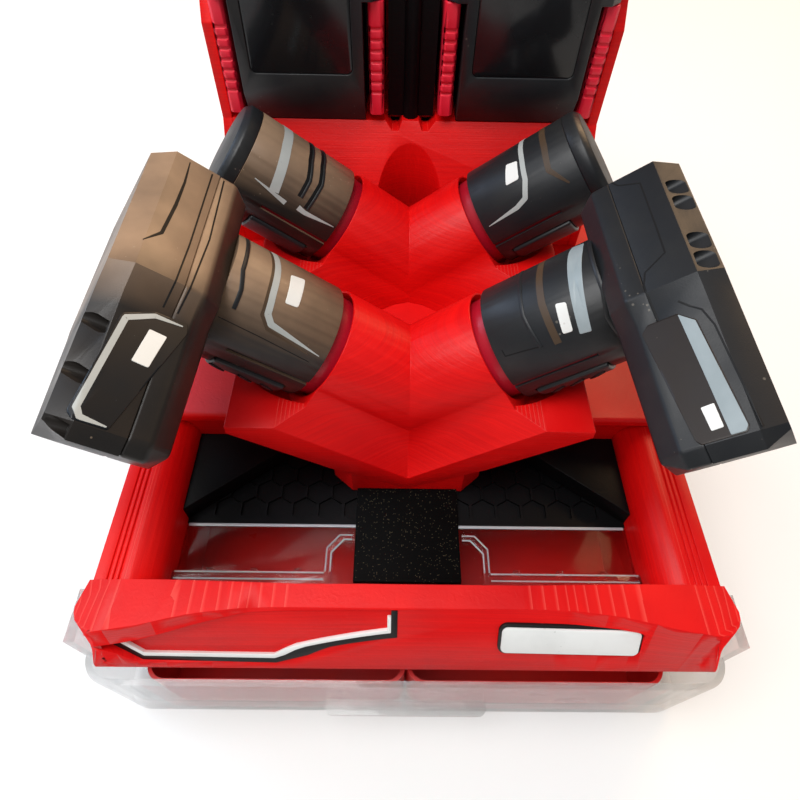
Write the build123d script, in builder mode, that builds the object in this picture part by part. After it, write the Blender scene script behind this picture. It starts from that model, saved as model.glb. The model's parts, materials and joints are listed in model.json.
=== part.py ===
"""Battery storage drawer case: a red printed rack of slanted sockets and upright bays over a clear drawer.

Millimetres, +Z up, +Y to the back. The origin is the middle of the case's underside.
"""
from build123d import *
from math import cos, radians, sin
import os

os.makedirs("parts", exist_ok=True)

# ---------------------------------------------------------------- driving dimensions
# Case and its drawer space
case_width = 248.0
case_depth = 330.0
case_wall = 4.0
case_floor = 4.0
drawer_space = 58.0
case_corner = 6.0
side_panel_depth = 1.2
side_panel_margin = 14.0

# Upper frame: rails beside the window, deck behind it
frame_height = 28.0
deck_thickness = 6.0
window_length = 77.0
lip_overhang = 2.5
lip_round = 2.0
rail_width = 23.0
rail_flat = 11.0
rail_step = 14.0
groove_width = 0.8
groove_pitch = 2.2
groove_count = 3

# Fascia bar
fascia_over = 3.0
fascia_top_depth = 11.4
fascia_toe_depth = 25.0
fascia_end_depth = 22.0
fascia_end_rise = 3.0
fascia_flat = 60.0
fascia_corner = 9.0
fascia_steps = 4

# Badge places on the fascia
inlay_end_gap = 10.0
inlay_middle_gap = 4.2
inlay_top_gap = 2.5
inlay_shoulder_drop = 13.0
inlay_foot_drop = 23.2
inlay_foot_in = 14.0
inlay_foot_length = 51.5
inlay_tail_drop = 13.5
inlay_sweep_x = 30.0
inlay_sweep_drop = 17.6
inlay_recess = 1.6
inlay_plate = 0.8
border_width = 2.4
border_height = 1.4
edge_width = 1.4
edge_height = 1.7
trim_clearance = 1.05
plaque_length = 56.5
plaque_height = 14.5
plaque_radius = 3.5
plaque_x = 63.7
plaque_drop = 16.7
plaque_rim = 1.1
plaque_rim_height = 1.4
plaque_plate = 0.9

# Window tray
honeycomb_depth = 42.0
honeycomb_plate = 4.0
cell_flats = 12.0
cell_rib = 1.3
cell_depth = 1.5
cell_rows = 4
gusset_side = 42.0
gusset_front = 40.0
gusset_blunt = 8.0
gusset_height = 10.0
window_plate = 3.0
strip_width = 47.0
strip_thickness = 2.5
strip_front_gap = 8.0
track_height = 5.0
track_width = 7.0
track_setback = 8.0
track_slots = 3
divider_pitch = 19.0
divider_width = 3.0
arch_half_width = 36.0
arch_depth = 24.0
arch_wall = 3.0
arch_corner = 6.0

# Slanted sockets
dock_angle = 37.0
axis_height = 100.5
front_row_setback = 90.0
row_pitch = 86.0
dome_radius = 25.5
flank_half = 29.0
flank_drop = 8.0
skirt_half = 38.0
skirt_drop = 17.0
mouth_reach = 48.5
skirt_reach = 57.0
trough_length = 20.0
trough_lip = 4.7
trough_radius = 28.0
socket_radius = 21.5
socket_floor_reach = 16.0
funnel_radius = 24.5
funnel_length = 6.0
belly_height = 70.0
belly_half = 35.0
belly_side_height = 88.0
pedestal_reach = 24.5
pedestal_half = 35.0
pedestal_front_half = 26.0
pedestal_chamfer = 8.0
pedestal_rise = 8.0
pedestal_shoulder = 16.0

# Round packs
neck_clearance = 0.7
neck_lift = 5.0
collar_radius = 22.2
collar_length = 7.0
collar_show = 5.0
stem_radius = 25.0
long_stem = 46.5
short_stem = 50.0
tab_width = 22.0
tab_length = 30.0
tab_start = 6.0
tab_thickness = 4.5
tab_proud = 1.3
tab_travel = 2.0
tab_gap = 0.4
tab_angle = 40.0
slot_width = 1.8
slot_depth = 1.2
slot_angle = 86.0
slot_length = 35.0

# Long feet of the two front packs
foot_thickness = 38.5
foot_split = 14.0
foot_rear = 38.0
foot_front = 84.0
foot_shoulder = 8.0
foot_half = 27.0
foot_tip_half = 15.5
foot_nose = 4.0
foot_step = 36.0
foot_step_in = 5.0
foot_bevel = 7.5
foot_bevel_in = 5.0
foot_heel = 7.0
foot_heel_in = 5.0
foot_chamfer = 7.0
foot_round = 6.0
vent_length = 8.0
vent_width = 4.0
vent_depth = 7.0
vent_gap = 9.0
vent_pair_pitch = 28.5
vent_pair_start = -15.0
slant_vents = 3
slant_start = 48.0
slant_pitch = 17.0
slant_angle = 40.0

# End caps of the two rear packs
cap_length = 8.0
cap_inset = 2.5

# Upright bay
bay_setback = 222.0
bay_width = 199.0
bay_wall = 5.0
bay_depth = 72.0
shelf_height = 158.4
shelf_thickness = 4.0
bay_side_height = 235.0
bay_side_front = 205.0
bay_side_slope = 18.0
bay_back_height = 250.0
bay_back_wall = 4.0
panel_run = 24.0
panel_knee = 118.0
panel_thickness = 11.0
scoop_radius = 18.3
scoop_wall = 3.0
notch_half = 13.3
notch_depth = 4.4
notch_flare = 3.7
notch_tab_half = 4.5
divider_half = 12.0
divider_height = 60.0
divider_rib = 4.0
divider_gap = 1.5

# Slide-on packs and their rails
slide_pitch = 108.0
slide_width = 79.4
slide_height = 118.0
slide_seat_gap = 0.3
slide_overhang = 6.0
slide_edge = 5.0
slide_bevel = 6.0
slide_bevel_height = 16.0
slide_foot_half = 30.3
latch_width = 7.3
latch_depth = 30.0
latch_height = 54.0
latch_lift = 4.0
latch_travel = 2.0
latch_gap = 0.4
latch_setback = 3.0
grip_groove = 1.0
grip_groove_width = 1.6
groove_step = 5.0
grooves = 7
latch_edge = 1.5
display_half = 25.0
display_low = 26.0
display_high = 96.0
display_recess = 1.6
display_plate = 1.2
display_corner = 3.0
rail_web = 44.0
rail_head = 56.0
rail_head_thickness = 6.0
rail_web_thickness = 4.0
rail_length = 70.0
rail_lift = 6.0
rail_gap = 0.6

# Drawer
drawer_gap = 0.4
drawer_wall = 2.5
drawer_lift = 2.0
drawer_top_gap = 2.0
drawer_back_gap = 3.0
nose_depth = 31.0
nose_lift = 3.0
nose_round = 12.0
cheek_gap = 0.8
cheek_width = 4.2
cheek_height = 82.0
cheek_depth = 20.0
runner_height = 5.0
runner_width = 7.3
runner_lift = 10.0
runner_rib = 3.5
runner_gap = 0.3
rib_width = 6.6
lip_length = 70.0
lip_reach = 6.0
lip_height = 30.0
bin_wall = 1.6
bin_height = 42.0
bin_gap = 0.4
bin_lift = 0.3
front_bin_length = 148.0
bin_corner = 8.0

# ---------------------------------------------------------------- derived sizes
front_y = -case_depth / 2
rear_y = case_depth / 2
half_width = case_width / 2
frame_bottom = case_floor + drawer_space
rail_top = frame_bottom + frame_height
deck_top = rail_top + deck_thickness
wall_y = front_y + window_length
lip_y = wall_y - lip_overhang
rail_inner = half_width - rail_width
tray_floor = frame_bottom + honeycomb_plate
fascia_half = half_width + fascia_over
inlay_left = inlay_end_gap - fascia_half
front_row_y = front_y + front_row_setback
rear_row_y = front_row_y + row_pitch
stem_reach = mouth_reach + collar_show
neck_radius = socket_radius - neck_clearance
neck_reach = socket_floor_reach + neck_lift
run, rise = cos(radians(dock_angle)), sin(radians(dock_angle))
trough_top = axis_height + skirt_reach * rise - skirt_drop * run
trough_x = skirt_reach * run + skirt_drop * rise
bay_y = front_y + bay_setback
bay_back_y = bay_y + bay_depth
bay_half = bay_width / 2
panel_y = bay_y - panel_run
skirt_bottom = 100.0
slide_base = shelf_height + slide_seat_gap
slide_top = slide_base + slide_height
slide_front = bay_y - slide_overhang
slide_back = bay_back_y - rail_gap
slide_split_depth = latch_setback + latch_depth + latch_gap
slide_split_y = slide_front + slide_split_depth
drawer_half = half_width - case_wall - runner_width - drawer_gap
drawer_inner = drawer_half - drawer_wall
nose_half = fascia_half + cheek_gap + cheek_width


def finish(piece, name):
    """Names a finished sub-part and writes it as a STEP file."""
    piece.label = name
    export_step(piece, f"parts/{name}.step")


def dock_plane(side, row_y, reach=0.0):
    """Plane square to a socket's axis: local y points up across it, local -x * side to the front."""
    origin = (side * reach * run, row_y, axis_height + reach * rise)
    return Plane(origin=origin, x_dir=(0, side, 0), z_dir=(side * run, 0, rise))


def fascia_face():
    """Plane of the slanted front face, from its top edge in the middle; local y points up the slope."""
    lean = fascia_toe_depth - fascia_top_depth
    origin = (0, front_y - fascia_top_depth, rail_top)
    return Plane(origin=origin, x_dir=(1, 0, 0), z_dir=(0, -frame_height, lean))


# ---------------------------------------------------------------- case
def make_lower_housing():
    with BuildPart() as housing:
        with BuildSketch():
            RectangleRounded(case_width, case_depth, case_corner)
        extrude(amount=frame_bottom)
        with BuildSketch(Plane.XZ.offset(-(rear_y - case_wall))):
            with Locations((0, case_floor)):
                Rectangle(case_width - 2 * case_wall, drawer_space, align=(Align.CENTER, Align.MIN))
        extrude(amount=case_depth, mode=Mode.SUBTRACT)
        for side in (-1, 1):
            with BuildSketch(Plane.YZ.offset(side * (half_width - side_panel_depth))):
                for place in (-1, 1):
                    with Locations((place * case_depth / 4, frame_bottom / 2)):
                        Rectangle(case_depth / 2 - side_panel_margin, frame_bottom - 2 * side_panel_margin)
            extrude(amount=side * case_wall, mode=Mode.SUBTRACT)
    finish(housing.part, "lower_housing")


def make_runners():
    with BuildPart() as runners:
        for side in (-1, 1):
            with BuildSketch(Plane.XZ.offset(-(rear_y - case_wall))):
                with Locations((side * (half_width - case_wall - runner_width / 2), case_floor + runner_lift)):
                    Rectangle(runner_width, runner_height)
            extrude(amount=case_depth - 2 * case_wall)
    finish(runners.part, "runners")


def make_deck():
    with BuildPart() as deck:
        with BuildSketch(Plane.XY.offset(frame_bottom)):
            with Locations((0, (wall_y + rear_y) / 2)):
                Rectangle(case_width, rear_y - wall_y)
                Rectangle(case_width - 2 * case_wall, rear_y - wall_y - 2 * case_wall, mode=Mode.SUBTRACT)
        extrude(amount=frame_height)
        with BuildSketch(Plane.XY.offset(rail_top)):
            with Locations((0, (lip_y + rear_y) / 2)):
                Rectangle(case_width, rear_y - lip_y)
        extrude(amount=deck_thickness)
        fillet(deck.edges().filter_by(Axis.X).group_by(Axis.Y)[0], lip_round)
        rear_corners = deck.edges().filter_by(Axis.Z).group_by(Axis.Y)[-1]
        fillet(rear_corners.sort_by(Axis.X)[0], case_corner)
        rear_corners = deck.edges().filter_by(Axis.Z).group_by(Axis.Y)[-1]
        fillet(rear_corners.sort_by(Axis.X)[-1], case_corner)
    finish(deck.part, "deck")


def make_side_rail(side, name):
    """A rail beside the window: a flat strip, three fine grooves and a round inner shoulder."""
    crest = half_width - rail_flat
    bulge = rail_width - rail_flat
    with BuildPart() as rail:
        with BuildSketch(Plane.XZ.offset(-wall_y)):
            with BuildLine():
                Polyline((side * crest, rail_top), (side * half_width, rail_top), (side * half_width, frame_bottom),
                         (side * rail_inner, frame_bottom), (side * rail_inner, rail_top - rail_step))
                ThreePointArc((side * rail_inner, rail_top - rail_step),
                              (side * (crest - bulge * 0.7), rail_top - rail_step * 0.3),
                              (side * crest, rail_top))
            make_face()
            for groove in range(groove_count):
                with Locations((side * (crest + groove_pitch * (groove + 0.5)), rail_top)):
                    Rectangle(groove_width, 2 * groove_width, mode=Mode.SUBTRACT)
        extrude(amount=window_length)
    finish(rail.part, name)


def fascia_station(x, depth, height):
    """One cross-section of the fascia bar, at a distance x from the middle."""
    with BuildSketch(Plane.YZ.offset(x)) as station:
        with BuildLine():
            Polyline((front_y, frame_bottom), (front_y, rail_top + height), (front_y - depth, rail_top + height),
                     (front_y - fascia_toe_depth, frame_bottom), close=True)
        make_face()
    return station.sketch


def inlay_outline():
    """Outline of the left badge place on the fascia's face: a chevron end, a level foot and a swept-up tail."""
    foot_start = (inlay_left + inlay_foot_in, -inlay_foot_drop)
    foot_end = (foot_start[0] + inlay_foot_length, -inlay_foot_drop)
    tail = (-inlay_middle_gap, -inlay_tail_drop)
    with BuildLine() as outline:
        Polyline(foot_end, foot_start, (inlay_left, -inlay_shoulder_drop), (-fascia_flat, -inlay_top_gap),
                 (-inlay_middle_gap, -inlay_top_gap), tail)
        ThreePointArc(tail, (-inlay_sweep_x, -inlay_sweep_drop), foot_end)
    make_face(outline.edges())


def inlay_top_strip(width):
    """The band along the top of the badge place that carries no trim; it reaches just past the trim's width."""
    right, high, below = -inlay_middle_gap - width, width - inlay_top_gap, trim_clearance * width
    shoulder = -inlay_shoulder_drop - below
    with BuildLine() as band:
        Polyline((inlay_left - width, shoulder), (inlay_left, shoulder), (-fascia_flat, -inlay_top_gap - below),
                 (right, -inlay_top_gap - below), (right, high), (inlay_left - width, high), close=True)
    make_face(band.edges(), mode=Mode.SUBTRACT)


def make_fascia():
    """The front bar: a leaning face under a top that spreads and rises smoothly towards both ends."""
    wing = []
    for step in range(fascia_steps + 1):
        share = step / fascia_steps
        swell = share * share * (3 - 2 * share)
        x = fascia_flat + share * (fascia_half - fascia_flat)
        depth = fascia_top_depth + (fascia_end_depth - fascia_top_depth) * share
        wing.append((x, depth, fascia_end_rise * swell))
    stations = [fascia_station(-x, depth, height) for x, depth, height in reversed(wing)]
    stations += [fascia_station(x, depth, height) for x, depth, height in wing]
    with BuildPart() as fascia:
        loft(stations, ruled=True)
        with BuildSketch(Plane.XY.offset(frame_bottom)):
            with Locations((0, front_y + fascia_toe_depth)):
                RectangleRounded(2 * fascia_half, 4 * fascia_toe_depth, fascia_corner)
        extrude(amount=2 * frame_height, mode=Mode.INTERSECT)
        with BuildSketch(fascia_face().offset(-inlay_recess)):
            inlay_outline()
        extrude(amount=fascia_end_depth, mode=Mode.SUBTRACT)
        with BuildSketch(fascia_face()):
            with Locations((plaque_x, -plaque_drop)):
                RectangleRounded(plaque_length, plaque_height, plaque_radius)
        extrude(amount=fascia_end_depth, mode=Mode.SUBTRACT)
    finish(fascia.part, "fascia")


def make_inlay():
    floor = fascia_face().offset(-inlay_recess)
    with BuildPart() as panel:
        with BuildSketch(floor):
            inlay_outline()
        extrude(amount=inlay_plate)
    finish(panel.part, "inlay_panel")
    face = floor.offset(inlay_plate)
    with BuildPart() as border:
        with BuildSketch(face):
            inlay_outline()
            offset(amount=-border_width, kind=Kind.INTERSECTION, mode=Mode.SUBTRACT)
            inlay_top_strip(border_width)
        extrude(amount=border_height)
    finish(border.part, "inlay_border")
    with BuildPart() as edge:
        with BuildSketch(face):
            inlay_outline()
            offset(amount=-border_width, kind=Kind.INTERSECTION)
            offset(amount=-edge_width, kind=Kind.INTERSECTION, mode=Mode.SUBTRACT)
            inlay_top_strip(border_width + edge_width)
        extrude(amount=edge_height)
    finish(edge.part, "inlay_edge")


def make_plaque():
    with BuildPart() as rim:
        with BuildSketch(fascia_face()):
            with Locations((plaque_x, -plaque_drop)):
                RectangleRounded(plaque_length, plaque_height, plaque_radius)
        extrude(amount=plaque_rim_height)
    finish(rim.part, "plaque_rim")
    with BuildPart() as plate:
        with BuildSketch(fascia_face().offset(plaque_rim_height)):
            with Locations((plaque_x, -plaque_drop)):
                RectangleRounded(plaque_length - 2 * plaque_rim, plaque_height - 2 * plaque_rim,
                                 plaque_radius - plaque_rim)
        extrude(amount=plaque_plate)
    finish(plate.part, "plaque")


# ---------------------------------------------------------------- window tray
def make_honeycomb_floor():
    middle_y = wall_y - honeycomb_depth / 2
    corner = (cell_flats - cell_rib) / 2 / cos(radians(30))
    row_step = (honeycomb_depth - 2 * cell_rib - 2 * corner) / (cell_rows - 1)
    columns = int(2 * rail_inner / cell_flats) - 1
    with BuildPart() as floor:
        with BuildSketch(Plane.XY.offset(frame_bottom)):
            with Locations((0, middle_y)):
                Rectangle(2 * rail_inner, honeycomb_depth)
        extrude(amount=honeycomb_plate)
        with BuildSketch(Plane.XY.offset(tray_floor)):
            for row in range(cell_rows):
                with Locations((0, middle_y + (row - (cell_rows - 1) / 2) * row_step)):
                    with GridLocations(cell_flats, 1, columns - row % 2, 1):
                        RegularPolygon(radius=corner, side_count=6, rotation=30)
        extrude(amount=-cell_depth, mode=Mode.SUBTRACT)
    finish(floor.part, "honeycomb_floor")


def make_gussets():
    with BuildPart() as gussets:
        with BuildSketch(Plane.XY.offset(tray_floor)):
            for side in (-1, 1):
                with BuildLine():
                    Polyline((side * rail_inner, wall_y), (side * (rail_inner - gusset_side), wall_y),
                             (side * (rail_inner - gusset_side), wall_y - gusset_blunt),
                             (side * rail_inner, wall_y - gusset_front), close=True)
                make_face()
        extrude(amount=gusset_height)
    finish(gussets.part, "gussets")


def make_window_panel():
    panel_back = wall_y - honeycomb_depth
    with BuildPart() as panel:
        with BuildSketch(Plane.XY.offset(tray_floor - window_plate)):
            with Locations((0, (panel_back + front_y) / 2)):
                Rectangle(2 * rail_inner, panel_back - front_y)
        extrude(amount=window_plate)
    finish(panel.part, "window_panel")


def make_window_track():
    """Clear track behind the fascia, with divider slots and an arch round the middle strip."""
    track_y = front_y + track_setback
    inner = strip_width / 2 + arch_wall / 2
    outer = arch_half_width
    front = track_y - track_width / 2
    back = front + arch_depth
    with BuildPart() as track:
        for side in (-1, 1):
            with BuildSketch(Plane.XY.offset(tray_floor)):
                with Locations((side * (rail_inner + outer) / 2, track_y)):
                    Rectangle(rail_inner - outer, track_width)
                for slot in range(track_slots):
                    with Locations((side * (outer + divider_pitch * (slot + 0.6)), track_y)):
                        Rectangle(divider_width, track_width + divider_width)
                with BuildLine():
                    Polyline((side * inner, back), (side * (outer - arch_corner), back),
                             (side * outer, back - arch_corner), (side * outer, front),
                             (side * (outer - arch_wall), front), (side * (outer - arch_wall), back - arch_corner - 1),
                             (side * (outer - arch_corner - 1), back - arch_wall), (side * inner, back - arch_wall),
                             close=True)
                make_face()
            extrude(amount=track_height)
    finish(track.part, "window_track")


def make_centre_strip():
    strip_back = wall_y - pedestal_reach
    strip_front = front_y + strip_front_gap
    with BuildPart() as strip:
        with BuildSketch(Plane.XY.offset(tray_floor)):
            with Locations((0, (strip_back + strip_front) / 2)):
                Rectangle(strip_width, strip_back - strip_front)
        extrude(amount=strip_thickness)
    finish(strip.part, "centre_strip")


# ---------------------------------------------------------------- slanted sockets
def bell_profile():
    """Cross-section of a socket arm: a round dome over two flaring skirts."""
    with BuildLine() as bell:
        Polyline((dome_radius, 0), (flank_half, -flank_drop), (skirt_half, -skirt_drop),
                 (skirt_half, -skirt_bottom), (-skirt_half, -skirt_bottom), (-skirt_half, -skirt_drop),
                 (-flank_half, -flank_drop), (-dome_radius, 0))
        ThreePointArc((-dome_radius, 0), (0, dome_radius), (dome_radius, 0))
    make_face(bell.edges())


def along(reach, up):
    """A point in a socket's mid-plane, from its reach along the axis and its height across it."""
    return (reach * run - up * rise, axis_height + reach * rise + up * run)


def make_arms(row_y):
    """Two socket arms that meet in a valley over the middle of the case, without their bores."""
    lip = (trough_x + trough_length, trough_top)
    with BuildPart() as arms:
        with BuildSketch(dock_plane(1, row_y, -skirt_bottom)):
            bell_profile()
        extrude(amount=2 * skirt_bottom + skirt_reach)
        with BuildSketch(Plane.XZ.offset(-row_y)):
            with BuildLine():
                Polyline((0, belly_height), (belly_half, belly_side_height), (lip[0], lip[1] - trough_lip), lip,
                         (trough_x, trough_top), along(mouth_reach, -flank_drop),
                         along(mouth_reach, 2 * dome_radius), (0, axis_height + 2 * skirt_bottom), close=True)
            make_face()
        extrude(amount=skirt_half, both=True, mode=Mode.INTERSECT)
        mirror(about=Plane.YZ)
        with BuildSketch(Plane.XY.offset(frame_bottom)):
            with Locations((0, (lip_y + rear_y) / 2)):
                Rectangle(case_width, rear_y - lip_y)
        extrude(amount=deck_top - frame_bottom, mode=Mode.SUBTRACT)
    return arms.part


def disc(side, row_y, reach, radius):
    """A round section across a socket's axis."""
    with BuildSketch(dock_plane(side, row_y, reach)) as section:
        Circle(radius)
    return section.sketch


def cut_bores(row_y):
    """Bores both sockets of a row: the blind bore, its funnel and the trough in front of it."""
    for side in (-1, 1):
        extrude(disc(side, row_y, socket_floor_reach, socket_radius), amount=mouth_reach, mode=Mode.SUBTRACT)
        with Locations(dock_plane(side, row_y, mouth_reach - funnel_length)):
            Cone(socket_radius, funnel_radius, funnel_length, align=(Align.CENTER, Align.CENTER, Align.MIN),
                 mode=Mode.SUBTRACT)
        extrude(disc(side, row_y, mouth_reach, trough_radius), amount=2 * trough_length, mode=Mode.SUBTRACT)


def make_front_dock():
    arms = make_arms(front_row_y)
    front = wall_y - pedestal_reach
    with BuildPart() as dock:
        with BuildSketch(Plane.XY.offset(tray_floor)):
            with BuildLine():
                Polyline((-pedestal_half, wall_y), (-pedestal_half, front + pedestal_chamfer),
                         (-pedestal_front_half, front), (pedestal_front_half, front),
                         (pedestal_half, front + pedestal_chamfer), (pedestal_half, wall_y), close=True)
            make_face()
        extrude(amount=rail_top - tray_floor)
        with BuildSketch(Plane.XZ.offset(-wall_y)):
            with BuildLine():
                Polyline((-pedestal_half, tray_floor), (pedestal_half, tray_floor), (pedestal_half, rail_top),
                         (pedestal_shoulder, rail_top), (0, belly_height + pedestal_rise),
                         (-pedestal_shoulder, rail_top), (-pedestal_half, rail_top), close=True)
            make_face()
        extrude(amount=pedestal_reach, mode=Mode.INTERSECT)
        add(arms)
        cut_bores(front_row_y)
    finish(dock.part, "front_dock")


def make_rear_dock():
    arms = make_arms(rear_row_y)
    with BuildPart() as dock:
        add(arms)
        cut_bores(rear_row_y)
        with BuildSketch(Plane.YZ):
            with BuildLine():
                Polyline((panel_y, rail_top), (panel_y, panel_knee), (bay_y, shelf_height),
                         (rear_y, shelf_height), (rear_y, rail_top), close=True)
            make_face()
        extrude(amount=bay_half, both=True, mode=Mode.SUBTRACT)
    finish(dock.part, "rear_dock")


# ---------------------------------------------------------------- upright bay
def make_back_panel():
    """The slanted wall under the bay, with an upright round scoop in its middle and a notched top edge."""
    top_y = bay_y + panel_thickness
    notch_floor = shelf_height - notch_depth
    with BuildPart() as panel:
        with BuildSketch(Plane.XY.offset(deck_top)):
            with Locations((0, panel_y)):
                Circle(scoop_radius + scoop_wall)
        extrude(amount=shelf_height - deck_top)
        with BuildSketch(Plane.YZ):
            with BuildLine():
                Polyline((panel_y, deck_top), (panel_y, panel_knee), (bay_y, shelf_height), (top_y, shelf_height),
                         (top_y, deck_top), close=True)
            make_face()
        extrude(amount=bay_half, both=True, mode=Mode.INTERSECT)
        with BuildSketch(Plane.YZ):
            with BuildLine():
                Polyline((panel_y, deck_top), (panel_y, panel_knee), (bay_y, shelf_height), (top_y, shelf_height),
                         (panel_y + panel_thickness, panel_knee), (panel_y + panel_thickness, deck_top), close=True)
            make_face()
        extrude(amount=bay_half - bay_wall, both=True)
        with BuildSketch(Plane.XY.offset(deck_top)):
            with Locations((0, panel_y)):
                Circle(scoop_radius)
        extrude(amount=shelf_height, mode=Mode.SUBTRACT)
        with BuildSketch(Plane.XZ.offset(-top_y)):
            for side in (-1, 1):
                with BuildLine():
                    Polyline((side * notch_half, shelf_height), (side * (notch_half - notch_flare), notch_floor),
                             (side * (notch_tab_half + notch_flare / 2), notch_floor),
                             (side * notch_tab_half, shelf_height), close=True)
                make_face()
        extrude(amount=2 * panel_thickness, mode=Mode.SUBTRACT)
    finish(panel.part, "back_panel")


def make_bay_shell():
    """Two side walls with sloping tops, the rear wall and the shelf under the upright packs."""
    outer_y = bay_back_y + bay_back_wall
    with BuildPart() as bay:
        for side in (-1, 1):
            with BuildSketch(Plane.YZ.offset(side * bay_half)):
                with BuildLine():
                    Polyline((panel_y, deck_top), (panel_y, panel_knee), (bay_y, shelf_height),
                             (bay_y, bay_side_front), (bay_y + bay_side_slope, bay_side_height),
                             (outer_y, bay_back_height), (outer_y, deck_top), close=True)
                make_face()
            extrude(amount=-side * bay_wall)
        with BuildSketch(Plane.XY.offset(deck_top)):
            with Locations((0, outer_y - bay_back_wall / 2)):
                Rectangle(bay_width, bay_back_wall)
        extrude(amount=bay_back_height - deck_top)
        shelf_front = bay_y + panel_thickness
        with BuildSketch(Plane.XY.offset(shelf_height)):
            with Locations((0, (shelf_front + outer_y) / 2)):
                Rectangle(bay_width - bay_wall, outer_y - shelf_front)
        extrude(amount=-shelf_thickness)
    finish(bay.part, "bay_shell")


def make_bay_divider():
    """The post between the upright packs, with a half-round rib down its front."""
    post_front = bay_y + divider_gap + divider_rib
    with BuildPart() as divider:
        with BuildSketch(Plane.XY.offset(shelf_height)):
            with Locations((0, (post_front + bay_back_y) / 2)):
                Rectangle(2 * divider_half, bay_back_y - post_front)
            with Locations((0, post_front)):
                Circle(divider_rib)
        extrude(amount=divider_height)
        top = divider.faces().sort_by(Axis.Z)[-1]
        chamfer(top.edges(), 1.2)
    finish(divider.part, "bay_divider")


def make_slide_mounts():
    """The T-shaped rails on the rear wall that the upright packs hang on."""
    head_y = bay_back_y - rail_web_thickness - rail_head_thickness / 2
    with BuildPart() as mounts:
        for side in (-1, 1):
            with BuildSketch(Plane.XY.offset(shelf_height + rail_lift)):
                with Locations((side * slide_pitch / 2, bay_back_y - rail_web_thickness / 2)):
                    Rectangle(rail_web, rail_web_thickness)
                with Locations((side * slide_pitch / 2, head_y)):
                    Rectangle(rail_head, rail_head_thickness)
            extrude(amount=rail_length)
    finish(mounts.part, "slide_mounts")


# ---------------------------------------------------------------- round packs
def tab_angle_of(side, place):
    """Direction of a release tab in its cross-section; place -1 is the front one, 1 the rear one."""
    return -tab_angle if side * place > 0 else 180 + tab_angle


def tab_section(side, row_y, place, reach, inner, outer, width):
    """Part of a round section beyond a flat floor, as wide as a tab and turned to its direction."""
    with BuildSketch(dock_plane(side, row_y, reach)) as section:
        Circle(outer)
        with PolarLocations(inner, 1, start_angle=tab_angle_of(side, place)):
            Rectangle(2 * outer, width, align=(Align.MIN, Align.CENTER), mode=Mode.INTERSECT)
    return section.sketch


def make_tab(side, row_y, place, name):
    """A release tab with a round outer face that stands a little proud of its stem."""
    outer = stem_radius + tab_proud
    section = tab_section(side, row_y, place, stem_reach + tab_start, outer - tab_thickness, outer, tab_width)
    with BuildPart() as tab:
        extrude(section, amount=tab_length)
    finish(tab.part, name)


def make_neck(side, row_y, name):
    """The red plug of a round pack: its neck and its wider collar."""
    collar_reach = stem_reach - collar_length
    with BuildPart() as neck:
        extrude(disc(side, row_y, neck_reach, neck_radius), amount=collar_reach - neck_reach)
        extrude(disc(side, row_y, collar_reach, collar_radius), amount=collar_length)
    finish(neck.part, name)


def make_stem(side, row_y, length, name):
    """The black body of a round pack, with the pockets of its tabs and a fine slot at the front of its neck end."""
    pocket = stem_reach + tab_start - tab_gap
    floor = stem_radius + tab_proud - tab_thickness - tab_travel - tab_gap
    with BuildPart() as stem:
        extrude(disc(side, row_y, stem_reach, stem_radius), amount=length)
        for place in (-1, 1):
            extrude(tab_section(side, row_y, place, pocket, floor, 2 * stem_radius, tab_width + 2 * tab_gap),
                    amount=tab_length + 2 * tab_gap, mode=Mode.SUBTRACT)
        with BuildSketch(dock_plane(side, row_y, stem_reach)):
            with PolarLocations(stem_radius, 1, start_angle=90 + side * slot_angle):
                Rectangle(2 * slot_depth, slot_width)
        extrude(amount=slot_length, mode=Mode.SUBTRACT)
    finish(stem.part, name)


def foot_section(side, row_y, reach, corner, inset=0.0):
    """Section of a long foot: a blunt rear, a shoulder and a nose that tapers forwards."""
    upper = [(foot_rear, foot_half - corner), (foot_rear - corner, foot_half),
             (foot_shoulder - foot_step, foot_half), (-foot_step, foot_half - foot_step_in),
             (foot_nose - foot_front, foot_tip_half), (-foot_front, foot_tip_half - foot_nose)]
    points = [(side * y, up) for y, up in upper]
    points += [(side * y, -up) for y, up in reversed(upper)]
    with BuildSketch(dock_plane(side, row_y, reach)) as section:
        with BuildLine():
            Polyline(points, close=True)
        make_face()
        if inset:
            offset(amount=-inset, kind=Kind.INTERSECTION)
    return section.sketch


def make_foot(side, row_y, corner, name):
    """The inner half of a long foot, bevelled towards the stem that runs into it."""
    start = stem_reach + long_stem
    with BuildPart() as foot:
        loft([foot_section(side, row_y, start, corner, foot_heel_in),
              foot_section(side, row_y, start + foot_heel, corner)], ruled=True)
        extrude(foot_section(side, row_y, start + foot_heel, corner), amount=foot_split - foot_heel)
    finish(foot.part, name)


def foot_edge(forward):
    """Height of a foot's upper outer edge at a distance forward of the pack's axis."""
    if forward < foot_step:
        return foot_half - foot_bevel_in / 2
    taper = (foot_half - foot_step_in - foot_tip_half) / (foot_front - foot_nose - foot_step)
    return foot_half - foot_step_in - taper * (forward - foot_step) - foot_bevel_in / 2


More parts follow.
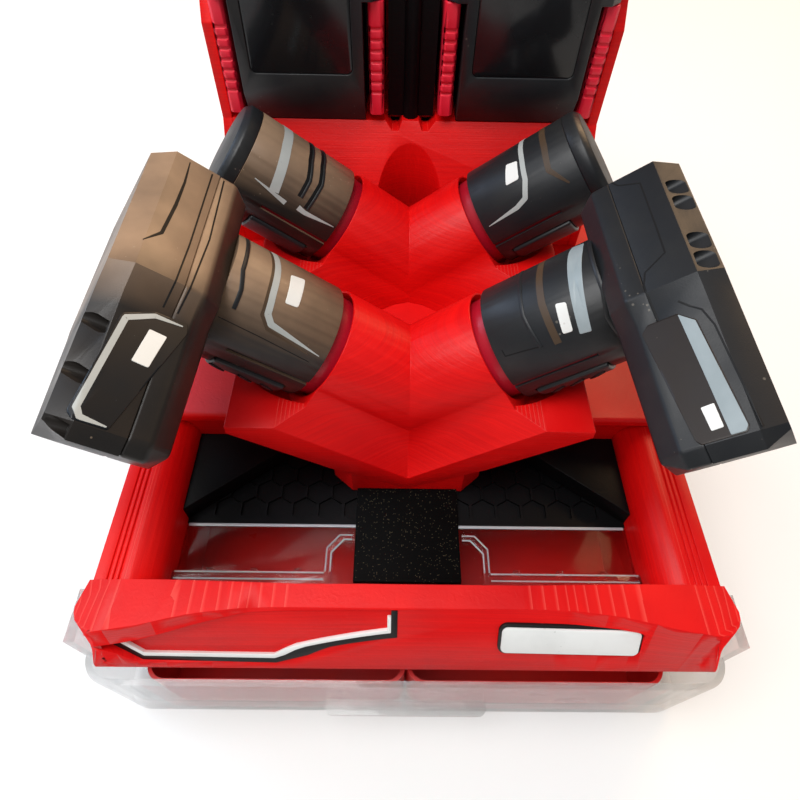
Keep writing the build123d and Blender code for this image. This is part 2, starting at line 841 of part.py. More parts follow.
def make_foot_cap(side, row_y, corner, name):
    """The outer half of a long foot, bevelled all round; vents cut its upper bevel, slanted ones on the left foot."""
    start = stem_reach + long_stem + foot_split
    end = stem_reach + long_stem + foot_thickness
    if side > 0:
        vents = [vent_pair_start + pair * vent_pair_pitch + one * vent_gap for pair in (0, 1) for one in (0, 1)]
    else:
        vents = [slant_start + one * slant_pitch for one in range(slant_vents)]
    lean = 0 if side > 0 else slant_angle
    with BuildPart() as cap:
        extrude(foot_section(side, row_y, start, corner), amount=end - foot_bevel - start)
        loft([foot_section(side, row_y, end - foot_bevel, corner),
              foot_section(side, row_y, end, corner, foot_bevel_in)], ruled=True)
        with BuildSketch(dock_plane(side, row_y, end)):
            for forward in vents:
                with Locations((-side * forward, foot_edge(forward))):
                    SlotOverall(vent_length, vent_width, rotation=lean)
        extrude(amount=-vent_depth, mode=Mode.SUBTRACT)
    finish(cap.part, name)


def make_cap(side, row_y, name):
    """The end cap of a compact pack, with a bevelled rim."""
    start = stem_reach + short_stem
    with BuildPart() as cap:
        extrude(disc(side, row_y, start, stem_radius), amount=cap_length)
        rim = cap.edges().filter_by(GeomType.CIRCLE).sort_by(Axis.Z)[-1]
        chamfer(rim, cap_inset)
    finish(cap.part, name)


def make_round_pack(side, row_y, name, corner=None):
    """All pieces of a round pack; one with a corner size stands on a long foot, the other is compact."""
    make_neck(side, row_y, f"{name}_neck")
    if corner:
        make_stem(side, row_y, long_stem, f"{name}_stem")
        make_foot(side, row_y, corner, f"{name}_foot")
        make_foot_cap(side, row_y, corner, f"{name}_foot_cap")
    else:
        make_stem(side, row_y, short_stem, f"{name}_stem")
        make_cap(side, row_y, f"{name}_cap")
    make_tab(side, row_y, -1, f"{name}_tab_front")
    make_tab(side, row_y, 1, f"{name}_tab_rear")


# ---------------------------------------------------------------- slide-on packs
def make_slide_front(side, name):
    """The front half of an upright pack, with its lower bevel, latch bays and display recess."""
    x = side * slide_pitch / 2
    with BuildPart() as case:
        with BuildSketch(Plane.YZ.offset(x)):
            with BuildLine():
                Polyline((slide_front + slide_bevel, slide_base), (slide_front, slide_base + slide_bevel_height),
                         (slide_front, slide_top), (slide_split_y, slide_top), (slide_split_y, slide_base),
                         close=True)
            make_face()
        extrude(amount=slide_width / 2, both=True)
        for place in (-1, 1):
            with BuildSketch(Plane.XY.offset(slide_base)):
                with Locations((x + place * (slide_foot_half + slide_width / 2), slide_split_y)):
                    Rectangle(slide_width, 2 * slide_split_depth)
            extrude(amount=latch_lift + latch_height + latch_gap, mode=Mode.SUBTRACT)
        front_edges = case.edges().filter_by(Axis.Z).group_by(Axis.Y)[0].group_by(Axis.Z)[-1]
        chamfer(front_edges, slide_edge)
        with BuildSketch(Plane.XZ.offset(-slide_front)):
            with Locations((x, slide_base + (display_low + display_high) / 2)):
                RectangleRounded(2 * display_half, display_high - display_low, display_corner)
        extrude(amount=-display_recess, mode=Mode.SUBTRACT)
    finish(case.part, name)


def make_display(side, name):
    """The dark panel in the front of an upright pack."""
    gap = display_recess - display_plate
    with BuildPart() as display:
        with BuildSketch(Plane.XZ.offset(-(slide_front + gap))):
            with Locations((side * slide_pitch / 2, slide_base + (display_low + display_high) / 2)):
                RectangleRounded(2 * display_half, display_high - display_low, display_corner)
        extrude(amount=-display_plate)
    finish(display.part, name)


def make_slide_rear(side, name):
    """The rear half of an upright pack, with the T-shaped slot that takes its rail."""
    x = side * slide_pitch / 2
    slot_high = rail_lift + rail_length + rail_gap
    with BuildPart() as case:
        with BuildSketch(Plane.XY.offset(slide_base)):
            with Locations((x, (slide_split_y + slide_back) / 2)):
                Rectangle(slide_width, slide_back - slide_split_y)
        extrude(amount=slide_height)
        back_edges = case.edges().filter_by(Axis.Z).group_by(Axis.Y)[-1]
        chamfer(back_edges, slide_edge)
        with BuildSketch(Plane.XY.offset(slide_base)):
            with Locations((x, bay_back_y - rail_web_thickness)):
                Rectangle(rail_web + 2 * rail_gap, 2 * rail_web_thickness)
            with Locations((x, bay_back_y - rail_web_thickness - rail_head_thickness / 2)):
                Rectangle(rail_head + 2 * rail_gap, rail_head_thickness + 2 * rail_gap)
        extrude(amount=slot_high, mode=Mode.SUBTRACT)
    finish(case.part, name)


def make_latch(side, place, name):
    """A side latch of an upright pack, with grip grooves across its front."""
    inner = slide_foot_half + latch_travel + latch_gap
    x = side * slide_pitch / 2 + place * (inner + latch_width / 2)
    with BuildPart() as latch:
        with BuildSketch(Plane.XY.offset(slide_base + latch_lift)):
            with Locations((x, slide_front + latch_setback + latch_depth / 2)):
                Rectangle(latch_width, latch_depth)
        extrude(amount=latch_height)
        chamfer(latch.edges().filter_by(Axis.Z).group_by(Axis.Y)[0], latch_edge)
        with BuildSketch(Plane.YZ.offset(x)):
            with Locations((slide_front + latch_setback, slide_base + latch_lift + latch_height / 2)):
                with GridLocations(1, groove_step, 1, grooves):
                    Rectangle(2 * grip_groove, grip_groove_width)
        extrude(amount=latch_width, both=True, mode=Mode.SUBTRACT)
    finish(latch.part, name)


def make_slide_pack(side, name):
    """All pieces of an upright pack."""
    make_slide_front(side, f"{name}_front_case")
    make_slide_rear(side, f"{name}_rear_case")
    make_display(side, f"{name}_window")
    make_latch(side, side, f"{name}_latch_outer")
    make_latch(side, -side, f"{name}_latch_inner")


# ---------------------------------------------------------------- drawer
def make_drawer_tub():
    """The clear tub: a tray that runs on its ribs, a wider nose in front and two upright cheeks."""
    bottom = case_floor + drawer_lift
    top = frame_bottom - drawer_top_gap
    tub_front, tub_back = front_y - drawer_gap, rear_y - case_wall - drawer_back_gap
    nose_front = front_y - drawer_gap - nose_depth
    with BuildPart() as tub:
        with BuildSketch(Plane.XY.offset(bottom)):
            with Locations((0, (tub_front + tub_back) / 2)):
                Rectangle(2 * drawer_half, tub_back - tub_front)
        extrude(amount=top - bottom)
        with BuildSketch(Plane.XY.offset(nose_lift)):
            with Locations((0, (tub_front + nose_front) / 2)):
                Rectangle(2 * nose_half, nose_depth)
        extrude(amount=top - nose_lift)
        front_corners = tub.edges().filter_by(Axis.Z).group_by(Axis.Y)[0]
        fillet(front_corners, nose_round)
        with BuildSketch(Plane.XY.offset(bottom + drawer_wall)):
            with Locations((0, (nose_front + tub_back) / 2)):
                Rectangle(2 * drawer_inner, tub_back - nose_front - 2 * drawer_wall)
            with Locations((0, (tub_front + nose_front) / 2)):
                RectangleRounded(2 * (nose_half - drawer_wall), nose_depth - 2 * drawer_wall,
                                 nose_round - drawer_wall)
        extrude(amount=top, mode=Mode.SUBTRACT)
        for side in (-1, 1):
            with BuildSketch(Plane.XY.offset(case_floor + runner_lift + runner_height / 2 + runner_gap)):
                with Locations((side * (drawer_half + rib_width / 2), (front_y + tub_back) / 2)):
                    Rectangle(rib_width, tub_back - front_y)
            extrude(amount=runner_rib)
            with BuildSketch(Plane.XY.offset(top)):
                with Locations((side * (fascia_half + cheek_gap), tub_front)):
                    Rectangle(cheek_width, cheek_depth,
                              align=(Align.MIN if side > 0 else Align.MAX, Align.MAX))
            extrude(amount=cheek_height - top)
        with BuildSketch(Plane.XY.offset(lip_height)):
            with Locations((0, nose_front)):
                RectangleRounded(lip_length, 2 * lip_reach, lip_reach / 2)
            with Locations((0, nose_front)):
                Rectangle(lip_length, 2 * lip_reach, align=(Align.CENTER, Align.MIN), mode=Mode.SUBTRACT)
        extrude(amount=drawer_wall)
    finish(tub.part, "drawer_tub")


def make_bin(left, right, front, back, name):
    """An open bin inside the drawer."""
    base = case_floor + drawer_lift + drawer_wall + bin_lift
    with BuildPart() as box:
        with BuildSketch(Plane.XY.offset(base)):
            with Locations(((left + right) / 2, (front + back) / 2)):
                RectangleRounded(right - left, back - front, bin_corner)
        extrude(amount=bin_height)
        with BuildSketch(Plane.XY.offset(base + bin_wall)):
            with Locations(((left + right) / 2, (front + back) / 2)):
                RectangleRounded(right - left - 2 * bin_wall, back - front - 2 * bin_wall, bin_corner - bin_wall)
        extrude(amount=bin_height, mode=Mode.SUBTRACT)
    finish(box.part, name)


def make_bins():
    outer = drawer_inner - bin_gap
    middle = bin_gap / 2
    front = front_y - drawer_gap - nose_depth + drawer_wall + bin_gap
    back = rear_y - case_wall - drawer_back_gap - drawer_wall - bin_gap
    make_bin(-outer, -middle, front, front + front_bin_length, "bin_front_left")
    make_bin(middle, outer, front, front + front_bin_length, "bin_front_right")
    make_bin(-outer, outer, front + front_bin_length + bin_gap, back, "bin_rear")


make_lower_housing()
make_runners()
make_deck()
make_side_rail(-1, "side_rail_left")
make_side_rail(1, "side_rail_right")
make_fascia()
make_inlay()
make_plaque()
make_honeycomb_floor()
make_gussets()
make_window_panel()
make_window_track()
make_centre_strip()
make_front_dock()
make_rear_dock()
make_back_panel()
make_bay_shell()
make_bay_divider()
make_slide_mounts()
make_round_pack(-1, front_row_y, "front_left", foot_round)
make_round_pack(1, front_row_y, "front_right", foot_chamfer)
make_round_pack(-1, rear_row_y, "rear_left")
make_round_pack(1, rear_row_y, "rear_right")
make_slide_pack(-1, "slide_left")
make_slide_pack(1, "slide_right")
make_drawer_tub()
make_bins()
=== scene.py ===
# %% [markdown]
# # A rack for tool batteries, dressed for its picture
# The CAD model gives every rigid part at its real size. This lesson keeps those parts where they are and
# gives them what CAD leaves out: printed plastic with its layers, moulded plastic with its grain and wear,
# clear sheet, and the thin trim that sits on the battery packs.

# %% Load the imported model
import bpy
import json
import numpy as np
from mathutils import Matrix, Vector


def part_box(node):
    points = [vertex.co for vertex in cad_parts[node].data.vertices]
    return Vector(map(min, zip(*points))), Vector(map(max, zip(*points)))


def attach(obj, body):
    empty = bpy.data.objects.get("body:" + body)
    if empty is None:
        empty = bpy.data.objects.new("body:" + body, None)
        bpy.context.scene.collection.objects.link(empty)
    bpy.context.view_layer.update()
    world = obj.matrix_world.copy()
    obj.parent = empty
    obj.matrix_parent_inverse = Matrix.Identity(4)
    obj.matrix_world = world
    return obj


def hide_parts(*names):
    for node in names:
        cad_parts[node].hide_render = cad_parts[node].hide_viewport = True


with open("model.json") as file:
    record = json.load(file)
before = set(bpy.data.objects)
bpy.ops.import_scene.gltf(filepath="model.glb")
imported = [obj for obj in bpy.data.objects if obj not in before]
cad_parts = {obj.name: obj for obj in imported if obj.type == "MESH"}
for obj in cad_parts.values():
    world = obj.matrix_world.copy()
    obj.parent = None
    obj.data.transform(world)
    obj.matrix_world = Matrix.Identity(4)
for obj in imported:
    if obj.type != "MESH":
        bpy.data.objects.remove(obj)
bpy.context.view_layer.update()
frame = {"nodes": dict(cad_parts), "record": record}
nodes = frame["nodes"]

# %% [markdown]
# The camera stands where the photograph was taken: a little left of the middle, close to the case and
# looking down at 52 degrees. A camera in Blender looks along its own -Z with +Y up, so its matrix is built
# from three directions: right, up and back. The lens is a phone's, about 27 mm on a full frame.

# %% Camera
pitch, yaw, roll = 0.91277, 0.01683, 0.0271  # radians
stand = np.array([-0.0070, -0.24224, 0.32622])
sensor, picture, focal, axis_lift = 36.0, 800, 593.97, 27.0  # the sensor in mm, the rest in pixels

forward = np.array([np.sin(yaw) * np.cos(pitch), np.cos(yaw) * np.cos(pitch), -np.sin(pitch)])
level = np.array([np.cos(yaw), -np.sin(yaw), 0.0])
upright = np.cross(level, forward)
right = np.cos(roll) * level + np.sin(roll) * upright
up = np.cos(roll) * upright - np.sin(roll) * level

lens = bpy.data.cameras.new("phone_camera")
lens.sensor_width = sensor
lens.lens = focal / picture * sensor
lens.shift_y = -axis_lift / picture
lens.clip_start = 0.01
camera = bpy.data.objects.new("phone_camera", lens)
turn = Matrix(np.column_stack([right, up, -forward]).tolist()).to_4x4()
camera.matrix_world = Matrix.Translation(Vector(stand.tolist())) @ turn
bpy.context.scene.collection.objects.link(camera)
bpy.context.scene.camera = camera
print("camera at", stand.round(3), "lens", round(lens.lens, 2), "mm")

# %% [markdown]
# The photograph has a white ground and the light of a room: a broad soft light from high in front, warm
# light from the right at the back and cool light from the left. A large pale floor takes the shadow. Only the
# camera sees the world as white and the floor aglow. The plastics mirror a dim room and keep their deep
# colours.

# %% One function that adds a node, one that reads a colour
def linear(code):
    """Turns an sRGB hex colour into the linear values that a shader works with.

    Each part is divided by 12.92 where it is small, and otherwise raised to 2.4 after an offset of 0.055.
    """
    parts = np.array([int(code[i:i + 2], 16) / 255 for i in (1, 3, 5)])
    return (*np.where(parts <= 0.04045, parts / 12.92, ((parts + 0.055) / 1.055) ** 2.4), 1.0)


def add(tree, kind, sockets=None, **settings):
    """Adds a node: settings are its properties, sockets its inputs, each a plain value or an output."""
    made = tree.nodes.new(kind)
    for name, value in settings.items():
        setattr(made, name, value)
    for name, value in (sockets or {}).items():
        if isinstance(value, bpy.types.NodeSocket):
            tree.links.new(value, made.inputs[name])
        else:
            made.inputs[name].default_value = value
    return made


print("sRGB #808080 is linear", round(float(linear("#808080")[0]), 3))

# %% World
room_light, room_mirrored = 0.36, 0.10

bpy.context.scene.view_settings.view_transform = "Standard"
world = bpy.data.worlds.new("pale_room")
bpy.context.scene.world = world
world.use_nodes = True
sky = world.node_tree
sky.nodes.clear()
seen = add(sky, "ShaderNodeLightPath")
room = add(sky, "ShaderNodeMapRange",
           {"Value": seen.outputs["Is Glossy Ray"], "To Min": room_light, "To Max": room_mirrored})
white = add(sky, "ShaderNodeMix", {0: seen.outputs["Is Camera Ray"], 2: room.outputs[0], 3: 1.0})
air = add(sky, "ShaderNodeBackground", {"Color": linear("#FFFFFF"), "Strength": white.outputs[0]})
add(sky, "ShaderNodeOutputWorld", {"Surface": air.outputs["Background"]})
print("world:", world.name)

# %% Floor
half_floor, paper_glow = 3.0, 0.22

floor_corners = [(x * half_floor, y * half_floor, 0) for x, y in ((-1, -1), (1, -1), (1, 1), (-1, 1))]
floor_mesh = bpy.data.meshes.new("floor")
floor_mesh.from_pydata(floor_corners, [], [(0, 1, 2, 3)])
floor = bpy.data.objects.new("floor", floor_mesh)
bpy.context.scene.collection.objects.link(floor)

paper = bpy.data.materials.new("white_paper_sweep")
paper.use_nodes = True
sheet = paper.node_tree
sheet.nodes.clear()
ray = add(sheet, "ShaderNodeLightPath")
matte = add(sheet, "ShaderNodeBsdfDiffuse", {"Color": linear("#E2E2E0")})
glow = add(sheet, "ShaderNodeEmission", {"Color": linear("#FFFFFF"), "Strength": paper_glow})
aglow = add(sheet, "ShaderNodeAddShader", {0: matte.outputs[0], 1: glow.outputs[0]})
shown = add(sheet, "ShaderNodeMixShader",
            {"Fac": ray.outputs["Is Camera Ray"], 1: matte.outputs[0], 2: aglow.outputs[0]})
add(sheet, "ShaderNodeOutputMaterial", {"Surface": shown.outputs[0]})
floor_mesh.materials.append(paper)
print("floor:", 2 * half_floor, "m square")

# %% Lamps
aim = Vector((0, 0, 0.12))
lamps = (("key_window", (-0.30, -0.28, 1.22), 0.8, 12.5, "#FFFFFF"),
         ("warm_lamp", (0.70, 0.90, 1.05), 0.7, 10.0, "#FFD2A0"),
         ("cool_window", (-1.1, 0.35, 0.7), 0.6, 5.0, "#C4DDFF"))

for name, place, size, watts, tint in lamps:
    light = bpy.data.lights.new(name, "AREA")
    light.size = size
    light.energy = watts
    light.color = linear(tint)[:3]
    lamp = bpy.data.objects.new(name, light)
    facing = (aim - Vector(place)).to_track_quat("-Z", "Y")
    lamp.matrix_world = Matrix.Translation(place) @ facing.to_matrix().to_4x4()
    bpy.context.scene.collection.objects.link(lamp)
print("lamps:", [row[0] for row in lamps])

# %% [markdown]
# Red PLA from a desktop printer is a satin plastic laid down in flat layers about 0.3 mm high. On walls the
# layers are fine level lines. On surfaces that are nearly level each layer ends in a small step, so the steps
# draw contour lines like those of a map; the rounded edge of each step gets a paler colour, a painted
# highlight. Both come from one thing: the height Z cut into layers. On walls the lines are drawn 0.9 mm
# apart, since 0.3 mm would vanish in the picture.

# %% A new material
def blank(name):
    """An empty node material with its shader; returns the material, its tree and its shader."""
    made = bpy.data.materials.new(name)
    made.use_nodes = True
    tree = made.node_tree
    tree.nodes.clear()
    shader = add(tree, "ShaderNodeBsdfPrincipled")
    add(tree, "ShaderNodeOutputMaterial", {"Surface": shader.outputs["BSDF"]})
    return made, tree, shader


def link(tree, shader, name, output):
    """Leads an output to the shader's input of that name."""
    tree.links.new(output, shader.inputs[name])


# %% The steps of the layers
layer, layer_shown = 0.0003, 0.0009
level_from, level_fully = 0.93, 0.985  # the upward part of a face's direction


def layer_steps(tree, place):
    """Returns a point's place on its layer, from 0 to 1, and how level its face lies, from 0 to 1.

    The place is the fraction of (height + 0.4 layer) / layer. The shift keeps level faces off a step.
    """
    height = add(tree, "ShaderNodeSeparateXYZ", {0: place}).outputs["Z"]
    facing = add(tree, "ShaderNodeNewGeometry").outputs["True Normal"]
    tilt = add(tree, "ShaderNodeSeparateXYZ", {0: facing}).outputs["Z"]
    level = add(tree, "ShaderNodeMapRange", {"Value": tilt, "From Min": level_from, "From Max": level_fully})
    raised = add(tree, "ShaderNodeMath", {0: height, 1: 0.4 * layer}, operation="ADD")
    steps = add(tree, "ShaderNodeMath", {0: raised.outputs[0], 1: layer}, operation="DIVIDE")
    tread = add(tree, "ShaderNodeMath", {0: steps.outputs[0]}, operation="FRACT")
    return tread.outputs[0], level.outputs[0]


print("layers:", layer, "m, drawn on walls at", layer_shown, "m")

# %% [markdown]
# The strip in the tray's middle is printed from a black filament with glitter mixed in. Its flakes lie at all
# angles, so only a few of them flash: those few are painted glints, bright specks in the base colour. They
# are drawn 0.6 mm apart, wider than they are, so that they show.

# %% Glitter
flake_gap, flake_size = 0.0006, 0.32  # the size is a share of the gap


def flakes_and_glints(tree, place, under, glitter):
    """Lays flakes over a colour as painted glints: of the cells that split the space, the share glitter holds
    a bright one.
    """
    cells = add(tree, "ShaderNodeTexVoronoi", {"Vector": place, "Scale": 1.0 / flake_gap})
    chance = add(tree, "ShaderNodeSeparateColor", {0: cells.outputs["Color"]})
    chosen = add(tree, "ShaderNodeMath", {0: chance.outputs[0], 1: 1.0 - glitter}, operation="GREATER_THAN")
    small = add(tree, "ShaderNodeMath", {0: cells.outputs["Distance"], 1: flake_size},
                operation="LESS_THAN")
    bright = add(tree, "ShaderNodeMath", {0: chosen.outputs[0], 1: small.outputs[0]}, operation="MULTIPLY")
    # The bright flake colour is a painted glint: real flakes, painted flash.
    over = add(tree, "ShaderNodeMix", {0: bright.outputs[0], 6: under, 7: linear("#4C4636")},
               data_type="RGBA")
    return over.outputs[2]


# %% Printed plastics
streak, swirl_size, cloud_size = 1 / 18, 1 / 420, 1 / 22  # 56 mm, 2.4 mm and 45 mm


def printed(name, light, dark, step_highlight, rough, shine=0.25, glitter=0.0):
    """Printed plastic: contour steps where a face lies nearly level, layer lines where it stands.

    The tone is a cloud plus the lines. The last fifth of each step is its rounded edge, drawn towards a paler
    colour as a painted highlight. rough is the middle of the roughness, and shine the specular level.
    """
    made, tree, shader = blank(name)
    shader.inputs["Specular IOR Level"].default_value = shine
    place = add(tree, "ShaderNodeTexCoord").outputs["Object"]
    tread, level = layer_steps(tree, place)
    squeezed = add(tree, "ShaderNodeMapping",
                   {"Vector": place, "Scale": (1.0 / streak, 1.0 / streak, 1.0 / layer_shown)})
    lines = add(tree, "ShaderNodeTexNoise",
                {"Vector": squeezed.outputs[0], "Scale": 1.0, "Detail": 3.0, "Roughness": 0.7})
    cloud = add(tree, "ShaderNodeTexNoise", {"Vector": place, "Scale": 1.0 / cloud_size, "Detail": 3.0})
    tone = add(tree, "ShaderNodeMath", {0: lines.outputs["Fac"], 1: cloud.outputs["Fac"]}, operation="ADD")
    ramp = add(tree, "ShaderNodeMapRange", {"Value": tone.outputs[0], "From Min": 0.7, "From Max": 1.3})
    colour = add(tree, "ShaderNodeMix", {0: ramp.outputs[0], 6: linear(dark), 7: linear(light)},
                 data_type="RGBA")
    # The paler colour on each step's edge is a painted highlight, only where the face lies level.
    edge = add(tree, "ShaderNodeMapRange",
               {"Value": tread, "From Min": 0.75, "From Max": 0.95, "To Max": 0.5})
    shown = add(tree, "ShaderNodeMath", {0: edge.outputs[0], 1: level}, operation="MULTIPLY")
    highlighted_steps = add(tree, "ShaderNodeMix", {0: shown.outputs[0], 6: colour.outputs[2], 7: linear(step_highlight)},
                data_type="RGBA")
    link(tree, shader, "Base Color", flakes_and_glints(tree, place, highlighted_steps.outputs[2], glitter))
    gloss = add(tree, "ShaderNodeMapRange", {"Value": cloud.outputs["Fac"], "From Min": 0.3, "From Max": 0.7,
                                             "To Min": rough - 0.05, "To Max": rough + 0.07})
    link(tree, shader, "Roughness", gloss.outputs[0])
    contour = add(tree, "ShaderNodeMath", {0: tread, 1: level}, operation="MULTIPLY")
    steps = add(tree, "ShaderNodeBump", {"Height": contour.outputs[0], "Strength": 0.8, "Distance": -layer})
    ribbed = add(tree, "ShaderNodeBump", {"Height": lines.outputs["Fac"], "Strength": 0.35,
                                          "Distance": layer, "Normal": steps.outputs[0]})
    swirl = add(tree, "ShaderNodeTexNoise",
                {"Vector": place, "Scale": 1.0 / swirl_size, "Detail": 2.0, "Distortion": 1.2})
    uneven = add(tree, "ShaderNodeBump", {"Height": swirl.outputs["Fac"], "Strength": 0.25,
                                          "Distance": layer, "Normal": ribbed.outputs[0]})
    link(tree, shader, "Normal", uneven.outputs[0])
    return made


# %% Three printed plastics
red_pla = printed("red_pla_printed", "#EA0F0C", "#CF060B", "#F2564C", 0.40)
black_pla = printed("black_pla_printed", "#0B0B0D", "#060607", "#18181B", 0.45, shine=0.12)
strip_pla = printed("black_pla_glitter_printed", "#060606", "#030303", "#101010", 0.6,
                    shine=0.06, glitter=0.14)
print("printed plastics:", red_pla.name, black_pla.name, strip_pla.name)

# %% [markdown]
# The battery packs are glass-filled nylon, moulded against a spark-eroded mould, which leaves a fine even
# grain. Years in a tool bag polish the high spots, and dust stays in the grain as pale specks. The grain is
# drawn 0.5 mm wide, coarser than it is, so that it shows. Two packs also get a painted warm brown reflection
# on the faces that look up.

# %% Painted warm reflection from above
sheen_from, sheen_fully = -0.116, -0.092  # along Y


def painted_warm_sheen(tree, place, patches, under, warm_sheen_colour):
    """Mixes in a painted warm reflection: the share is (behind the line) x (faces up) x (patchy, 0.55 to 1).
    """
    along = add(tree, "ShaderNodeSeparateXYZ", {0: place}).outputs["Y"]
    behind = add(tree, "ShaderNodeMapRange", {"Value": along, "From Min": sheen_from, "From Max": sheen_fully})
    facing = add(tree, "ShaderNodeNewGeometry").outputs["Normal"]
    tilt = add(tree, "ShaderNodeSeparateXYZ", {0: facing}).outputs["Z"]
    upper = add(tree, "ShaderNodeMapRange", {"Value": tilt, "From Min": 0.25, "From Max": 0.95})
    reached = add(tree, "ShaderNodeMath", {0: behind.outputs[0], 1: upper.outputs[0]}, operation="MULTIPLY")
    patchy = add(tree, "ShaderNodeMapRange", {"Value": patches, "From Min": 0.3, "From Max": 0.7,
                                              "To Min": 0.55, "To Max": 1.0})
    share = add(tree, "ShaderNodeMath", {0: reached.outputs[0], 1: patchy.outputs[0]}, operation="MULTIPLY")
    over = add(tree, "ShaderNodeMix", {0: share.outputs[0], 6: under, 7: linear(warm_sheen_colour)},
               data_type="RGBA")
    return over.outputs[2]


# %% Dust in the grain
speck_gap, dust_field, dust_share = 1 / 330, 1 / 60, 0.35  # 3 mm and 17 mm


def dusted(tree, place, under, dust):
    """Lays specks over a colour: a point is one if it is nearer to a seed than a noise allows."""
    seeds = add(tree, "ShaderNodeTexVoronoi", {"Vector": place, "Scale": 1.0 / speck_gap, "Randomness": 1.0})
    where = add(tree, "ShaderNodeTexNoise", {"Vector": place, "Scale": 1.0 / dust_field, "Detail": 2.0})
    reach = add(tree, "ShaderNodeMapRange", {"Value": where.outputs["Fac"], "From Min": 0.55,
                                             "From Max": 0.75, "To Min": 0.02, "To Max": 0.2})
    near = add(tree, "ShaderNodeMath", {0: seeds.outputs["Distance"], 1: reach.outputs[0]},
               operation="LESS_THAN")
    faint = add(tree, "ShaderNodeMath", {0: near.outputs[0], 1: dust_share}, operation="MULTIPLY")
    over = add(tree, "ShaderNodeMix", {0: faint.outputs[0], 6: under, 7: linear(dust)}, data_type="RGBA")
    return over.outputs[2]


# %% Moulded plastics
patch_size, grain, grain_depth, smooth_depth = 1 / 28, 0.0005, 0.00006, 0.00001


def moulded(name, base, worn, dust, rough, depth=grain_depth, warm_sheen_colour=None):
    """Grained plastic: an even grain, soft patches of wear that are smoother, and dust in the grain.

    With a sheen colour given, the faces that look up behind a line across the case get it as a painted warm
    reflection.
    """
    made, tree, shader = blank(name)
    shader.inputs["Specular IOR Level"].default_value = 0.4
    place = add(tree, "ShaderNodeTexCoord").outputs["Object"]
    patches = add(tree, "ShaderNodeTexNoise",
                  {"Vector": place, "Scale": 1.0 / patch_size, "Detail": 4.0, "Roughness": 0.6})
    patches = patches.outputs["Fac"]
    wear = add(tree, "ShaderNodeMapRange", {"Value": patches, "From Min": 0.42, "From Max": 0.68})
    tint = add(tree, "ShaderNodeMix", {0: wear.outputs[0], 6: linear(base), 7: linear(worn)},
               data_type="RGBA").outputs[2]
    if warm_sheen_colour:
        tint = painted_warm_sheen(tree, place, patches, tint, warm_sheen_colour)
    link(tree, shader, "Base Color", dusted(tree, place, tint, dust))
    gloss = add(tree, "ShaderNodeMapRange", {"Value": patches, "From Min": 0.35, "From Max": 0.7,
                                             "To Min": rough + 0.08, "To Max": rough - 0.08})
    link(tree, shader, "Roughness", gloss.outputs[0])
    texture = add(tree, "ShaderNodeTexNoise", {"Vector": place, "Scale": 1.0 / grain, "Detail": 2.0})
    bump = add(tree, "ShaderNodeBump", {"Height": texture.outputs["Fac"], "Strength": 0.5, "Distance": depth})
    link(tree, shader, "Normal", bump.outputs[0])
    return made


print("patches of wear:", round(patch_size, 3), "m, grain:", grain, "m")

# %% [markdown]
# Nylon has a dry sheen that handling makes glossier. The case's ABS is duller, and the bins' polypropylene is
# brighter and waxy. The badge places are PLA with a filler, smooth and flat in colour. The smoked panel is
# acrylic, so smooth that it mirrors the room.

# %% Finishes of the packs, the case and the bins
pack_black = moulded("black_nylon_moulded", "#1D1F22", "#2B2B2B", "#8D8578", 0.42)
# This black carries a painted warm reflection: faces that look up behind a line turn dusty brown.
pack_worn_and_sheen = moulded("black_nylon_worn_painted_warm_sheen", "#1E1C1B", "#2C2723", "#A8937C", 0.36, warm_sheen_colour="#A98A6E")
pack_red = moulded("red_nylon_moulded", "#A60C22", "#B8142A", "#C06070", 0.36)
# The latches' own red is brighter than the necks', and is lifted further still as painted light for the
# shaded bay they sit in.
latch_red_and_painted_light = moulded("latch_red_nylon_and_painted_light", "#F0203A", "#F42C44", "#E08080", 0.36)
housing_black = moulded("black_abs_moulded", "#161719", "#1E1F21", "#5A5A58", 0.5)
bin_red = moulded("red_polypropylene_moulded", "#C8120F", "#D81A14", "#E07060", 0.34)
grey_stripe = moulded("grey_inlay_moulded", "#A9ADAA", "#B8BBB8", "#77756F", 0.4)
white_trim = moulded("white_pla_filled", "#F2F3F1", "#E6E7E5", "#B5B3AE", 0.38)
black_trim = moulded("black_pla_filled", "#0C0C0D", "#141415", "#3A3A38", 0.45)
smoked = moulded("smoked_acrylic_panel", "#17181A", "#1D1E20", "#50504C", 0.16, depth=smooth_depth)
print("materials so far:", len(bpy.data.materials))

# %% [markdown]
# The window, its track and the drawer are clear polycarbonate. Nearly all light goes through it, and it shows
# by its reflections. The flat window hardly bends light, so it is drawn mostly see-through. The edge has a
# finish of its own, paler and less clear, for the painted highlights that the last step lays along it.

# %% Clear sheet
scuff_size, scuff = 1 / 90, 0.02  # 11 mm, and how much rougher a scuff is


def clear(name, tint, rough, solid=0.5, through=1.0):
    """Clear sheet with faint scuffs in its gloss; solid is its alpha, through its share of refraction."""
    made, tree, shader = blank(name)
    place = add(tree, "ShaderNodeTexCoord").outputs["Object"]
    scuffs = add(tree, "ShaderNodeTexNoise",
                 {"Vector": place, "Scale": 1.0 / scuff_size, "Detail": 5.0, "Roughness": 0.7})
    gloss = add(tree, "ShaderNodeMapRange", {"Value": scuffs.outputs["Fac"], "From Min": 0.4,
                                             "From Max": 0.75, "To Min": rough, "To Max": rough + scuff})
    link(tree, shader, "Roughness", gloss.outputs[0])
    shader.inputs["Coat Weight"].default_value = 0.25
    shader.inputs["Coat Roughness"].default_value = 0.2
    shader.inputs["Base Color"].default_value = linear(tint)
    shader.inputs["Transmission Weight"].default_value = through
    shader.inputs["IOR"].default_value = 1.45
    shader.inputs["Alpha"].default_value = solid
    return made


